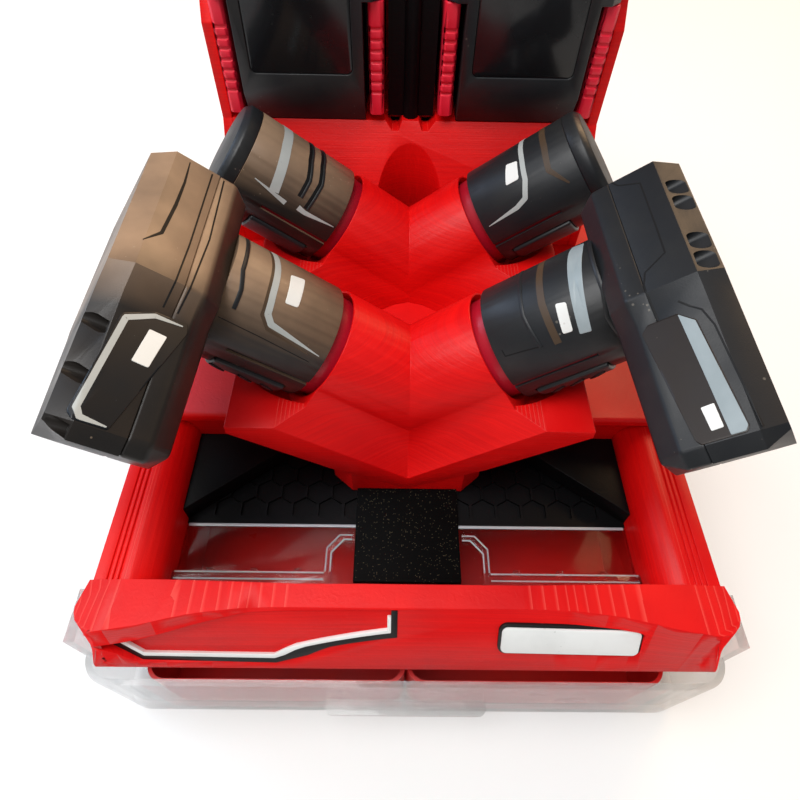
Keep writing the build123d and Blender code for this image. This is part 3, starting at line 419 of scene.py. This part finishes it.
# %% Moulded, flat and at its edge
clear_pc = clear("clear_polycarbonate_moulded", "#FBFDFD", 0.01)
window_pc = clear("clear_polycarbonate_sheet", "#FBFDFD", 0.05, solid=0.14)
# A paler, less clear finish for the painted highlights along clear edges.
edge_highlight_pc = clear("clear_polycarbonate_painted_highlight", "#E4ECF2", 0.1, solid=0.6, through=0.2)
print("clear sheet:", clear_pc.name, window_pc.name, edge_highlight_pc.name)

# %% [markdown]
# Every CAD node takes the finish of its slot in the record. Some have one of their own: the latches are a
# brighter red than the necks, lifted further as painted light for the shaded bay they sit in, two packs
# carry a painted warm reflection, and the strip and the window differ from their slots.

# %% Give every CAD node its finish
finish_of = {"red_print": red_pla, "black_print": black_pla, "black_housing": housing_black,
             "black_trim": black_trim, "white_trim": white_trim, "clear_sheet": clear_pc,
             "pack_black": pack_black, "pack_red": pack_red, "smoked_panel": smoked, "bin_red": bin_red}
slot_of = {part["node"]: part["material_slot"] for part in frame["record"]["subparts"]}
# These parts take the black with the painted warm reflection, besides its real wear and dust.
worn_and_sheen_nodes = ("front_left_stem", "front_left_foot", "front_left_foot_cap", "rear_left_stem")
own_finish = {name: latch_red_and_painted_light for name in nodes if "_latch_" in name}
own_finish.update({name: pack_worn_and_sheen for name in worn_and_sheen_nodes})
own_finish["centre_strip"] = strip_pla
own_finish["window_panel"] = window_pc
for name, node in nodes.items():
    finish = own_finish.get(name, finish_of[slot_of[name]])
    for place in node.material_slots:
        place.material = finish
    if not node.material_slots:
        node.data.materials.append(finish)
print("finished nodes:", len(nodes))

# %% [markdown]
# No real edge is a knife edge: a printed edge is a nozzle's width round, and a moulded one follows the cutter
# that made its mould. Those small rounds catch the light as thin bright lines. CAD keeps its edges sharp, so
# most nodes that show get a copy with its triangles joined to flat faces, and a Bevel modifier rounds every
# edge that turns by more than 25 degrees. The copy stands for the node. The honeycomb floor keeps its CAD
# mesh, because a face with that many holes doesn't join to one.

# %% A rounded copy of a CAD node
import bmesh

mm = 0.001
weld, flat_within, round_from = 2e-6, 0.012, np.radians(25)  # metres, radians, radians
bodies = frame["record"]["behaviour"]["bodies"]
body_of = {node: body for body, held in bodies.items() for node in held}


def rounded_copy(node, width, segments=2, reshape=None, cuts=()):
    """Copies a node, joins its triangles to flat faces, cuts it across at the given x, moves its corners
    by reshape if given, and rounds its edges by width."""
    mesh = nodes[node].data.copy()
    mesh.name = node + "_rounded"
    work = bmesh.new()
    work.from_mesh(mesh)
    bmesh.ops.remove_doubles(work, verts=work.verts, dist=weld)
    bmesh.ops.dissolve_limit(work, angle_limit=flat_within, verts=work.verts, edges=work.edges)
    for x in cuts:
        everything = work.verts[:] + work.edges[:] + work.faces[:]
        bmesh.ops.bisect_plane(work, geom=everything, dist=1e-6, plane_co=(x, 0, 0), plane_no=(1, 0, 0))
    work.to_mesh(mesh)
    work.free()
    if reshape:
        places = np.empty(3 * len(mesh.vertices))
        mesh.vertices.foreach_get("co", places)
        mesh.vertices.foreach_set("co", reshape(places.reshape(-1, 3)).ravel())
    mesh.shade_smooth()
    piece = bpy.data.objects.new(node + "_rounded", mesh)
    bpy.context.scene.collection.objects.link(piece)
    rounding = piece.modifiers.new("rounding", "BEVEL")
    rounding.width = width
    rounding.segments = segments
    rounding.limit_method = "ANGLE"
    rounding.angle_limit = round_from
    rounding.harden_normals = True
    rounding.use_clamp_overlap = True
    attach(piece, body_of[node])
    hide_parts(node)


# %% Rounds of a nozzle, of sheet and of a mould
nozzle_round, sheet_round, mould_round, tab_round = 0.00035, 0.0005, 0.0006, 0.0008

for name in ("front_dock", "rear_dock", "back_panel", "bay_shell", "deck", "side_rail_left",
             "side_rail_right", "gussets", "centre_strip"):
    rounded_copy(name, nozzle_round)
for name in ("window_panel", "window_track"):
    rounded_copy(name, sheet_round)
for name in [node for node in nodes if node.startswith("slide_") and node != "slide_mounts"]:
    rounded_copy(name, mould_round)
for name in [node for node in nodes if node.endswith("_stem")
             or node.endswith("_cap") and node.startswith("rear")]:
    rounded_copy(name, mould_round)
for name in [node for node in nodes if "_tab_" in node]:
    rounded_copy(name, tab_round)

# %% [markdown]
# The front bar is a visor: its top is shallow in the middle, spreads towards both ends, rises there by a few
# layers and ends in a round corner, while the toe below stays straight. CAD has it in straight steps. Here
# the corners of those steps are moved onto the real curves. All pieces on the leaning face are moved by the
# same rule, so they stay seated: a point keeps its distance to the face while the face is bent.

# %% The visor's depths, in millimetres
bar_back, bar_foot, bar_top, bar_half, toe_depth = -165.0, 62.0, 90.0, 127.0, 25.0
spread_from, cad_shallow, cad_deep = 60.0, 11.4, 22.0
real_depths = ((0.0, 50.0, 65.0, 82.0, 102.6, 118.0, 127.0), (8.4, 9.1, 10.0, 12.4, 17.2, 19.4, 20.0))


def cad_top(x):
    """Depth of the CAD bar's top at x: level to 60 mm from the middle, then a straight spread to its end."""
    return np.interp(x, (spread_from, bar_half), (cad_shallow, cad_deep))


def real_top(x):
    """Depth of the real bar's top at x, straight between seven places."""
    return np.interp(x, *real_depths)


def face_depth(top, height):
    """Depth of the leaning face: it runs straight from the top's depth down to the toe's."""
    return toe_depth + (top - toe_depth) * (height - bar_foot) / (bar_top - bar_foot)


print("depth of the bar's top:", real_top(0.0), "mm in the middle,", real_top(bar_half), "mm at its end")

# %% The visor's round ends
corner, corner_x, corner_depth, corner_lost = 9.0, 118.0, 16.0, 0.42


def round_end(x, depth, share):
    """Places about the corner's centre, outwards and to the front, of points on the bar's end.

    The end's points are spread over a quarter turn, by their angle over the CAD corner's own. The curve is
    a circle at the top, where share is 1, and squares up to a corner at the foot, where it is 0: its radius
    is divided by the larger of sine and cosine, to the power of 1 - share.
    """
    cad_angle = np.arcsin(1.0 - corner_lost * share)
    angle = np.arctan2(depth - corner_depth, np.maximum(x - corner_x, 0.01))
    turn = np.clip(angle / cad_angle, 0.0, 1.0) * np.pi / 2
    stretch = np.maximum(np.cos(turn), np.sin(turn)) ** (share - 1.0)
    return corner * np.cos(turn) * stretch, corner * np.sin(turn) * stretch


# %% The visor's shape
on_face_from, case_edge, cad_rise = 6.0, 124.3, 3.0
left_heights = ((62.0, 69.1, 71.3, 72.6, 74.2, 78.0, 87.75, 90.0),
                (62.0, 65.2, 67.6, 69.2, 72.8, 77.0, 88.4, 90.0))
right_heights = ((62.0, 68.4, 81.5, 90.0), (62.0, 71.2, 84.3, 90.0))
left_widths = ((0.0, 51.5, 103.0, 116.0, 127.0), (0.0, 52.6, 106.0, 120.5, 127.0))
top_rise = ((45.0, 60.0, 76.0, 92.0, 110.0, 120.0, 127.0), (0.0, 0.9, 2.1, 3.0, 3.0, 2.5, 1.5))


def visor(places):
    """Moves points of the bar, and of what it carries, from the CAD face to the real one.

    Tables move heights and widths, so that the badge places sit where they do on the real bar. The new depth
    is the real face's less the distance that the point had to the CAD face. The rise of the top is the real
    one instead of the smooth step, t * t * (3 - 2 t), that CAD has.
    """
    x, depth, z = places[:, 0] / mm, bar_back - places[:, 1] / mm, places[:, 2] / mm
    side, x = np.sign(x), np.abs(x)
    on_face = depth > on_face_from
    left, right = on_face & (side < 0) & (x < corner_x), on_face & (side > 0)
    height = np.where(left, np.interp(z, *left_heights), z)
    height = np.where(right, np.interp(z, *right_heights), height)
    height = np.where(z > bar_top, z, height)
    wide = np.where(left, np.interp(x, *left_widths), x)
    inside = face_depth(cad_top(x), z) - depth
    moved = np.where(on_face, face_depth(real_top(wide), height) - inside, depth)

    share = np.clip((z - bar_foot) / (bar_top - bar_foot), 0.0, 1.0)
    outwards, ahead = round_end(x, depth, share)
    at_end = (x > corner_x) & (depth > corner_depth - 0.1)
    wide = np.where(at_end, corner_x + outwards, wide)
    moved = np.where(at_end, face_depth(real_top(corner_x), height) - corner + ahead, moved)
    wide = np.where((depth < 1.0) & (x > case_edge), case_edge, wide)

    t = np.clip((x - spread_from) / (bar_half - spread_from), 0.0, 1.0)
    on_top = np.clip(z - bar_top + 1.0, 0.0, 1.0)
    height = height + on_top * (np.interp(wide, *top_rise) - cad_rise * t ** 2 * (3.0 - 2.0 * t))
    return np.column_stack([side * wide, bar_back - moved, height]) * mm


# %% The bar and its badge places
badge_round = 0.0002
cut_at = (45.0, 52.0, 60.0, 65.0, 70.0, 76.0, 82.0, 88.0, 94.0, 100.0, 105.0, 110.0, 115.0)
stations = [side * x * mm for x in cut_at for side in (-1, 1)]

rounded_copy("fascia", mould_round, 2, visor, stations)
for name in ("inlay_panel", "inlay_border", "inlay_edge", "plaque", "plaque_rim"):
    rounded_copy(name, badge_round, 2, visor)
print("cuts across the bar:", len(stations))

# %% [markdown]
# A battery pack has directions of its own: reach along its axis, forward to the front of the case, and up,
# square to both. Every place on a pack is given in them, in millimetres, and turned into the model's frame.

# %% A pack's own directions
lean = np.radians(37.0)
run, rise = np.cos(lean), np.sin(lean)
axis_height, front_row, rear_row, stem_radius = 100.5, -75.0, 11.0, 25.0


def pack_axes(side):
    """Rows are the directions of reach, forward and up; side is -1 for a left pack and 1 for a right one."""
    return np.array([[side * run, 0.0, rise], [0.0, -1.0, 0.0], [-side * rise, 0.0, run]])


def pack_point(side, row, local):
    """Model place of local points: the socket's origin plus each part along its direction."""
    return (np.array([0.0, row, axis_height]) + local @ pack_axes(side)) * mm


def pack_local(side, row, places):
    """The other way round: a product with the same directions, which are square to each other."""
    return (places / mm - np.array([0.0, row, axis_height])) @ pack_axes(side).T


# %% [markdown]
# The two long feet taper to the front, and their nose leans back under them, as on a shoe. The CAD foot has
# an upright nose and a square end. Only the corners of its flat faces are moved: those of the nose go back as
# they go down, and the outer end comes in a little towards the front. Straight faces stay straight.

# %% The feet, with a leaning nose
nose, nose_up, nose_lean = 84.0, 11.5, 0.45
skew, skew_from, skew_over = 3.2, 124.0, 8.0


def end_skew(reach, forward):
    """How far the outer end comes in: it grows over 8 mm of reach, and from 10 mm behind the axis to the
    nose."""
    outer = np.clip((reach - skew_from) / skew_over, 0.0, 1.0)
    return skew * outer * np.clip((forward + 10.0) / (nose + 10.0), 0.0, 1.0)


def leaning(side):
    """Moves a foot's corners: forward is capped by a line that leans back from the nose, and reach loses the
    skew of the end."""
    def reshape(places):
        reach, forward, up = pack_local(side, front_row, places).T
        forward = np.minimum(forward, nose - nose_lean * (nose_up - np.minimum(up, nose_up)))
        moved = np.column_stack([reach - end_skew(reach, forward), forward, up])
        return pack_point(side, front_row, moved)
    return reshape


for side, word, foot_round in ((-1, "left", 0.0022), (1, "right", 0.0008)):
    for piece in ("foot", "foot_cap"):
        rounded_copy(f"front_{word}_{piece}", foot_round, 3, leaning(side))

# %% [markdown]
# Labels, stripes and ribs are drawn on a flat map of the surface that carries them and then laid on it. On a
# stem the map is (reach, arc), with the arc counted from the top to the front, and rolling it on is a turn by
# arc over radius. On a foot the map is (reach, forward), and the height follows the foot's own faces.

# %% Two maps
foot_outline = ((-38, -31, 28, 36, 80, 84), (20, 27, 27, 22, 15.5, 11.5))
outer_edge, outer_bevel, inner_edge, inner_bevel, bevel_fall = 131.3, 7.5, 107.0, 7.0, 5.0


def on_stem(side, row):
    """Lays flat points (reach, arc) on a stem, at a lift in millimetres over it."""
    def place(flat, lift):
        angle = flat[..., 1] / stem_radius
        radius = stem_radius + lift
        round_it = [flat[..., 0], radius * np.sin(angle), radius * np.cos(angle)]
        return pack_point(side, row, np.stack(round_it, axis=-1))
    return place


def on_foot(side):
    """Lays flat points (reach, forward) on a foot: up is its outline's less the fall of its two bevels."""
    def place(flat, lift):
        reach, forward = flat[..., 0], flat[..., 1]
        outer = np.clip(reach + end_skew(reach, forward) - outer_edge, 0, outer_bevel) / outer_bevel
        inner = np.clip(inner_edge - reach, 0, inner_bevel) / inner_bevel
        up = np.interp(forward, *foot_outline) - bevel_fall * (outer + inner)
        return pack_point(side, front_row, np.stack([reach, forward, up + lift], axis=-1))
    return place


# %% Meshes from grids of points
sharp_from = np.radians(35)


def weave(name, points, outward, body, material, centre=None):
    """Joins a grid of points to faces; with a centre its rows are closed rings and a fan closes the last one.

    Faces whose summed direction goes against outward are turned round.
    """
    rows, columns = points.shape[:2]
    index = np.arange(rows * columns).reshape(rows, columns)
    if centre is not None:
        here, ahead, near, far = points, np.roll(points, -1, axis=1), index, np.roll(index, -1, axis=1)
    else:
        here, ahead, near, far = points[:, :-1], points[:, 1:], index[:, :-1], index[:, 1:]
    facing = np.cross(here[1:] - here[:-1], ahead[:-1] - here[:-1]).sum(axis=(0, 1)) @ outward
    faces = np.stack([near[:-1], near[1:], far[1:], far[:-1]], axis=-1).reshape(-1, 4).tolist()
    places = points.reshape(-1, 3).tolist()
    if centre is not None:
        faces += [[a, len(places), b] for a, b in zip(near[-1].tolist(), far[-1].tolist())]
        places.append(centre.tolist())
    if facing < 0:
        faces = [face[::-1] for face in faces]
    mesh = bpy.data.meshes.new(name)
    mesh.from_pydata(places, [], faces)
    mesh.shade_smooth()
    mesh.set_sharp_from_angle(angle=sharp_from)
    mesh.materials.append(material)
    piece = bpy.data.objects.new(name, mesh)
    bpy.context.scene.collection.objects.link(piece)
    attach(piece, body)


# %% Outlines and paths
def lengths_along(path):
    """Distance of each point from the first: the summed lengths of the steps between them."""
    return np.concatenate([[0.0], np.cumsum(np.linalg.norm(np.diff(path, axis=0), axis=1))])


def cut_corners(outline, radius, steps=4):
    """Rounds a polygon: each corner becomes a curve between two points a radius away on its sides.

    The curve is (1 - t)^2 start + 2 t (1 - t) corner + t^2 end.
    """
    outline = np.asarray(outline, float)
    before, after = np.roll(outline, 1, axis=0) - outline, np.roll(outline, -1, axis=0) - outline
    far_before, far_after = np.linalg.norm(before, axis=1), np.linalg.norm(after, axis=1)
    cut = np.minimum(radius, 0.45 * np.minimum(far_before, far_after))[:, None]
    start = outline + before / far_before[:, None] * cut
    end = outline + after / far_after[:, None] * cut
    t = np.linspace(0, 1, steps)[None, :, None]
    curve = (1 - t) ** 2 * start[:, None] + 2 * t * (1 - t) * outline[:, None] + t ** 2 * end[:, None]
    return curve.reshape(-1, 2)


def even(ring, step=1.5):
    """Adds points to the long sides of a closed ring, so that it can bend over a round surface."""
    closed = np.vstack([ring, ring[:1]])
    far = lengths_along(closed)
    marks = np.unique(np.round(np.concatenate([far, np.arange(0, far[-1], step)]), 6))[:-1]
    return np.column_stack([np.interp(marks, far, closed[:, i]) for i in range(2)])


# %% Labels
sunk = -0.1  # how far the rim of a piece of trim lies under the surface that carries it


def label(name, outline, place, material, body, height, corner=1.0):
    """A thin plate: its outline rises from under the surface, turns in over a small edge, and runs to the
    middle."""
    ring = even(cut_corners(outline, corner))
    middle = ring.mean(axis=0)
    size = np.linalg.norm(ring - middle, axis=1, keepdims=True)
    rings = [(0.0, sunk), (0.0, 0.7 * height), (0.12, height), (0.5, height)]
    inwards = [ring + (middle - ring) / size * inset for inset, lift in rings]
    inwards += [middle + (ring - middle) * share for share in (0.75, 0.5, 0.25)]
    lifts = [lift for inset, lift in rings] + [height] * 3
    points = np.stack([place(flat, lift) for flat, lift in zip(inwards, lifts)])
    centre = place(middle[None], height)[0]
    outward = centre - place(middle[None], height - 1.0)[0]
    weave(name, points, outward, body, material, centre)


# %% Stripes
across = (-1.0, -1.0, -0.7, 0.0, 0.7, 1.0, 1.0)
flat_profile = (None, 0.95, 1.0, 1.0, 1.0, 0.95, None)  # a share of the height; None is the sunk rim
round_profile = (None, 0.6, 0.9, 1.0, 0.9, 0.6, None)


def stripe(name, path, place, material, body, width, height, lift=0.0, round_top=False):
    """A ribbon along a path: each edge lies half its width off the path, which may change on the way."""
    path = np.asarray(path, float)
    far = lengths_along(path)
    marks = np.unique(np.round(np.concatenate([far, np.linspace(0, far[-1], int(far[-1]) + 2)]), 6))
    line = np.column_stack([np.interp(marks, far, path[:, i]) for i in range(2)])
    ahead = np.gradient(line, axis=0)
    ahead /= np.linalg.norm(ahead, axis=1, keepdims=True)
    square = np.column_stack([-ahead[:, 1], ahead[:, 0]])
    half = np.interp(marks, far, np.broadcast_to(width, far.shape))[:, None] / 2
    profile = round_profile if round_top else flat_profile
    lifts = [lift + (sunk if high is None else height * high) for high in profile]
    points = np.stack([place(line + square * half * share, high) for share, high in zip(across, lifts)])
    middle = line[len(line) // 2][None]
    outward = (place(middle, 1.0) - place(middle, 0.0))[0]
    weave(name, points, outward, body, material)


print("maps and meshes ready")

# %% [markdown]
# The trim's finishes: foil and vinyl labels with a satin face and no grain, a dull brown band of painted
# light, matt black lines of painted shade along partings, grooves, creases and a recess, and the dark red
# that shows through the slot in a stem.

# %% Finishes of the trim
silver_foil = moulded("silver_foil_label", "#8E999C", "#A3ADB0", "#6D6A62", 0.33, depth=smooth_depth)
white_label = moulded("white_vinyl_label", "#EDEDE9", "#E2E2DD", "#B9B2A4", 0.4, depth=smooth_depth)
# Brown of painted light: a painted reflection in a recess, and a painted shadow line beside a stripe.
brown_painted_light = moulded("brown_band_painted_light", "#4A3A2B", "#5A4734", "#8D7B62", 0.4)
brown_label = moulded("brown_black_label", "#231B16", "#2E251E", "#6D6355", 0.36, depth=smooth_depth)
black_label = moulded("black_satin_label", "#0F1216", "#171B20", "#5A5E60", 0.34, depth=smooth_depth)
# Matt black for lines of painted shade in partings, grooves, creases and rings.
groove_shade = moulded("parting_line_shadow", "#050506", "#08080A", "#1E1C1A", 0.6)
slot_red = moulded("dark_red_inner", "#6A0714", "#7C0C1A", "#702020", 0.4)
print("materials:", len(bpy.data.materials))

# %% [markdown]
# The right front pack has a silver label, a small white one and a brown band on its stem, a painted
# reflection in a recess, and its slot shows dark red. Three slanted grips stand on its release tab. All
# labels are bare.

# %% Trim of the right front pack
stem_fr = on_stem(1, front_row)
slot_line = [(53.9, 37.52), (88.0, 37.52)]
pack = "front_right_pack"
label("front_right_silver_label",
      [(93.6, -15), (98.4, -12.5), (97.8, -6.7), (90.8, 26.6), (86.5, 26.0), (92.3, -9.8)],
      stem_fr, silver_foil, pack, height=0.15, corner=0.5)
label("front_right_white_label", [(82.6, 11.9), (86.6, 12.9), (84.8, 23.9), (81.0, 23.5)],
      stem_fr, white_label, pack, height=0.2, corner=0.9)
# A brown band of painted reflection in a recess.
stripe("front_right_painted_reflection_band", [(80.9, -16), (80.2, -7), (78.0, 9.7), (77.9, 26.2)],
       stem_fr, brown_painted_light, pack, width=2.8, height=0.12)
stripe("front_right_ridge", [(71.6, -16), (71.2, -0.5), (69.7, 11.1), (70.4, 18.1), (71.4, 24.9)],
       stem_fr, pack_black, pack, width=1.4, height=0.35, round_top=True)
# A black line of painted shade along the edge of a recess.
stripe("front_right_recess_shade", [(57.0, 20.1), (57.2, 22.9), (64.5, 23.7), (72.3, 24.8)],
       stem_fr, groove_shade, pack, width=0.5, height=0.04)
stripe("front_right_end_ring", [(100.6, -14), (100.1, 14.3), (97.8, 24.2), (98.9, 33.9)],
       stem_fr, pack_black, pack, width=1.6, height=0.4, round_top=True)
stripe("front_right_slot_floor", slot_line, stem_fr, slot_red, pack,
       width=1.5, height=0.1, lift=-0.9)
for number, reach in enumerate((66.0, 74.5, 83.0)):
    stripe(f"front_right_grip_{number}", [(reach - 4.2, 57.5), (reach - 1.0, 53.0), (reach + 3.4, 49.5)],
           stem_fr, pack_black, "front_right_tab_front",
           width=(0.8, 2.2, 0.8), height=0.7, lift=1.3, round_top=True)

# %% [markdown]
# The left front pack has a grey stripe that runs across its stem and then kinks towards the socket,
# tapering to a point. A brown line of painted shadow follows it, and a white label sits beside it. Its
# release tab has three slanted grips too.

# %% Trim of the left front pack
stem_fl = on_stem(-1, front_row)
pack = "front_left_pack"
stripe("front_left_grey_stripe",
       [(84.8, -15), (83.4, -2), (82.9, 9.5), (81.9, 17.4), (79.2, 20.4), (56.5, 23.8)],
       stem_fl, grey_stripe, pack, width=(2.6, 2.6, 2.6, 2.6, 2.5, 0.3), height=0.15)
# A brown line of painted shadow beside the grey stripe.
stripe("front_left_painted_shadow_line",
       [(86.6, -15), (85.3, -2), (84.8, 9.5), (83.8, 18.6), (79.8, 22.6), (60.9, 25.0)],
       stem_fl, brown_painted_light, pack, width=(1.2, 1.2, 1.2, 1.2, 1.2, 0.3), height=0.1)
label("front_left_white_label", [(77.9, -2.7), (71.7, -4.2), (72.1, 10.2), (77.5, 10.8)],
      stem_fl, white_label, pack, height=0.2, corner=0.9)
# A black line of painted shade along the seam.
stripe("front_left_seam_shade", [(97.5, 26.0), (80.2, 26.5), (58.8, 27.6)],
       stem_fl, groove_shade, pack, width=0.35, height=0.03)
stripe("front_left_end_ring", [(96.4, -14), (96.2, 6.3), (94.3, 13.7), (93.9, 21.0)],
       stem_fl, pack_black, pack, width=1.6, height=0.4, round_top=True)
for number, reach in enumerate((64.0, 74.0, 86.0)):
    stripe(f"front_left_grip_{number}", [(reach - 4.0, 56.5), (reach - 0.5, 53.0), (reach + 3.6, 50.0)],
           stem_fl, pack_black, "front_left_tab_front",
           width=(0.9, 2.4, 0.9), height=0.7, lift=1.3, round_top=True)

# %% [markdown]
# The rear packs are compact ones. The left one carries a painted warm reflection that turns it a warm grey,
# with two broad rings pressed into its stem, their grooves drawn as painted shade, a grey band and a grey
# point. The right one has a white label, a brown band of painted light and a kinked grey stripe.

# %% Trim of the left rear pack
stem_rl = on_stem(-1, rear_row)
pack = "rear_left_pack"
rings = ([(79.0, -14), (77.9, 5.2), (75.7, 15.0), (76.1, 24.0)],
         [(72.4, -14), (71.6, 4.3), (69.7, 13.8), (71.0, 27.4)])
lip_offset = 1.4
# Each ring's groove is a black line of painted shade, with a raised lip beside it.
for number, path in enumerate(rings):
    stripe(f"rear_left_ring_{number}", path, stem_rl, groove_shade, pack, width=1.6, height=0.04)
    stripe(f"rear_left_ring_lip_{number}", [(reach - lip_offset, arc) for reach, arc in path],
           stem_rl, pack_black, pack, width=1.2, height=0.35, round_top=True)
stripe("rear_left_point", [(74.0, 28.6), (70.0, 29.2), (54.7, 28.0)],
       stem_rl, grey_stripe, pack, width=(2.6, 2.2, 0.3), height=0.15)
stripe("rear_left_point_outer", [(97.0, 27.0), (80.0, 29.8)],
       stem_rl, grey_stripe, pack, width=(0.4, 2.2), height=0.15)
stripe("rear_left_silver_label", [(90.8, -15), (90.0, 6.0), (87.0, 28.0)],
       stem_rl, grey_stripe, pack, width=4.6, height=0.12)
stripe("rear_left_slot_floor", slot_line, stem_rl, slot_red, pack,
       width=1.5, height=0.1, lift=-0.9)

# %% Trim of the right rear pack
stem_rr = on_stem(1, rear_row)
pack = "rear_right_pack"
label("rear_right_white_label", [(74.5, 3.7), (80.0, 5.1), (78.0, 14.2), (71.4, 14.1)],
      stem_rr, white_label, pack, height=0.2, corner=0.9)
stripe("rear_right_grey_stripe",
       [(84.0, -15), (82.2, 6.0), (80.6, 16.0), (77.2, 23.6), (72.0, 25.6), (56.3, 27.2)],
       stem_rr, grey_stripe, pack, width=(2.4, 2.4, 2.4, 2.4, 2.2, 0.3), height=0.15)
# A brown band of painted light.
stripe("rear_right_painted_brown_band", [(94.5, -15), (93.4, 6.0), (91.6, 17.5), (97.5, 27.0)],
       stem_rr, brown_painted_light, pack, width=(3.0, 3.0, 2.6, 0.8), height=0.12)
stripe("rear_right_slot_floor", slot_line, stem_rr, slot_red, pack,
       width=1.5, height=0.1, lift=-0.9)

# %% [markdown]
# Each long foot carries a bare label plate on its tapered face. The right one is brown black with a silver
# field along its outer side, the left one black with a grey line that follows its edge. The parting line of
# the two moulded halves steps across the right foot and runs straight along the left one; it, a groove and
# a crease are drawn as black lines of painted shade. All of it lies on the map of the foot, so it follows the
# bevels and the skewed end.

# %% Trim of the right foot
foot_r = on_foot(1)
pack = "front_right_pack"
label("right_foot_plate",
      [(108.0, 39.5), (110.4, 36.9), (119.8, 36.9), (124.4, 41.2), (126.6, 78.0), (125.4, 79.6),
       (113.2, 79.6), (112.0, 78.0)],
      foot_r, brown_label, pack, height=0.25, corner=0.6)
label("right_foot_silver", [(119.9, 37.3), (124.0, 41.4), (126.2, 77.8), (125.2, 79.2), (121.3, 79.2)],
      foot_r, silver_foil, pack, height=0.4, corner=0.3)
label("right_foot_white_label", [(116.4, 69.0), (120.2, 68.8), (120.4, 76.4), (116.9, 76.6)],
      foot_r, white_label, pack, height=0.45, corner=0.4)
# Black lines of painted shade along the parting and a groove.
stripe("right_foot_parting_shade",
       [(114.8, -32.0), (117.0, -27.5), (124.3, -23.0), (123.8, 2.2), (123.4, 14.8), (115.6, 19.6),
        (114.0, 24.5), (114.0, 36.6)],
       foot_r, groove_shade, pack, width=0.6, height=0.06)
stripe("right_foot_groove_shade", [(121.5, 33.5), (126.8, 38.5), (128.4, 45.0), (129.4, 79.0)],
       foot_r, groove_shade, pack, width=0.6, height=0.06)

# %% Trim of the left foot
foot_l = on_foot(-1)
pack = "front_left_pack"
label("left_foot_plate",
      [(108.6, 38.2), (119.0, 38.6), (127.6, 43.4), (131.0, 77.0), (129.2, 79.6), (119.6, 79.6),
       (107.8, 41.6)],
      foot_l, black_label, pack, height=0.25, corner=0.8)
stripe("left_foot_grey_line",
       [(109.8, 39.8), (118.6, 40.2), (126.2, 44.6), (129.2, 75.8), (127.6, 78.4), (120.2, 78.9)],
       foot_l, grey_stripe, pack,
       width=(0.4, 1.6, 1.9, 1.9, 1.8, 0.4), height=0.12, lift=0.25)
label("left_foot_white_label", [(118.8, 45.2), (113.2, 45.5), (115.3, 57.6), (120.5, 57.3)],
      foot_l, white_label, pack, height=0.45, corner=0.5)
# Black lines of painted shade along the partings and a crease.
stripe("left_foot_parting_shade_outer", [(116.9, -31.5), (116.6, 10.0), (117.3, 36.0)],
       foot_l, groove_shade, pack, width=0.6, height=0.06)
stripe("left_foot_parting_shade_inner", [(112.2, -31.5), (110.9, 3.1), (112.6, 36.0)],
       foot_l, groove_shade, pack, width=0.6, height=0.06)
stripe("left_foot_crease_shade", [(125.6, -30.0), (124.9, -18.1), (125.0, -4.9), (126.0, 10.8), (130.5, 17.5)],
       foot_l, groove_shade, pack, width=(0.4, 0.9, 1.2, 1.2, 0.3), height=0.05)

# %% [markdown]
# Clear sheet is seen by its edges: they are round and catch the light of the room. Here that light is
# painted: pale strips of a paler, less clear finish lie along them as painted highlights. The window has one
# along its back, and the track one along its rail and one round each arm of its arch.

# %% A map of a level surface
def on_level(height):
    """Lays flat points (x, y) on a level surface at that height in millimetres."""
    def place(flat, lift):
        up = np.full(flat.shape[:-1], height + lift)
        return np.stack([flat[..., 0], flat[..., 1], up], axis=-1) * mm
    return place


# %% The painted highlight along the window's back edge
window_low, window_high = (np.array(place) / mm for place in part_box("window_panel"))
end_gap, edge_gap = 1, 0.8
on_window = on_level(window_high[2])
edge_y = window_high[1] - edge_gap

stripe("window_back_painted_highlight", [(window_low[0] + end_gap, edge_y), (window_high[0] - end_gap, edge_y)],
       on_window, edge_highlight_pc, "case", width=1.3, height=0.5, round_top=True)
print("window's edge at y =", edge_y.round(2), "mm")

# %% The painted highlights along the track's edges
track_high = np.array(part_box("window_track")[1]) / mm
arch_start, arch_half, arch_cut, arch_ease, rail_back = 24.5, 36.0, 6.0, 0.6, -153.5
on_track = on_level(track_high[2] - 0.4)  # sunk, so that the crown of an edge ends just inside the sheet

for side, word in ((-1, "left"), (1, "right")):
    rail_end = track_high[0] - end_gap
    for line, inset in (("back", 0.5), ("front", 3.4)):
        rail = [(side * arch_half, rail_back - inset), (side * rail_end, rail_back - inset)]
        stripe(f"track_{line}_edge_{word}", rail, on_track, edge_highlight_pc, "case",
               width=0.7, height=0.35, round_top=True)
    for line, inset in (("outer", 0.5), ("inner", 2.5)):
        far, back = arch_half - inset, track_high[1] - inset
        arch = [(side * arch_start, back), (side * (far - arch_cut + arch_ease), back),
                (side * far, back - arch_cut), (side * far, rail_back)]
        stripe(f"track_arch_{line}_{word}", arch, on_track, edge_highlight_pc, "case",
               width=0.7, height=0.35, round_top=True)
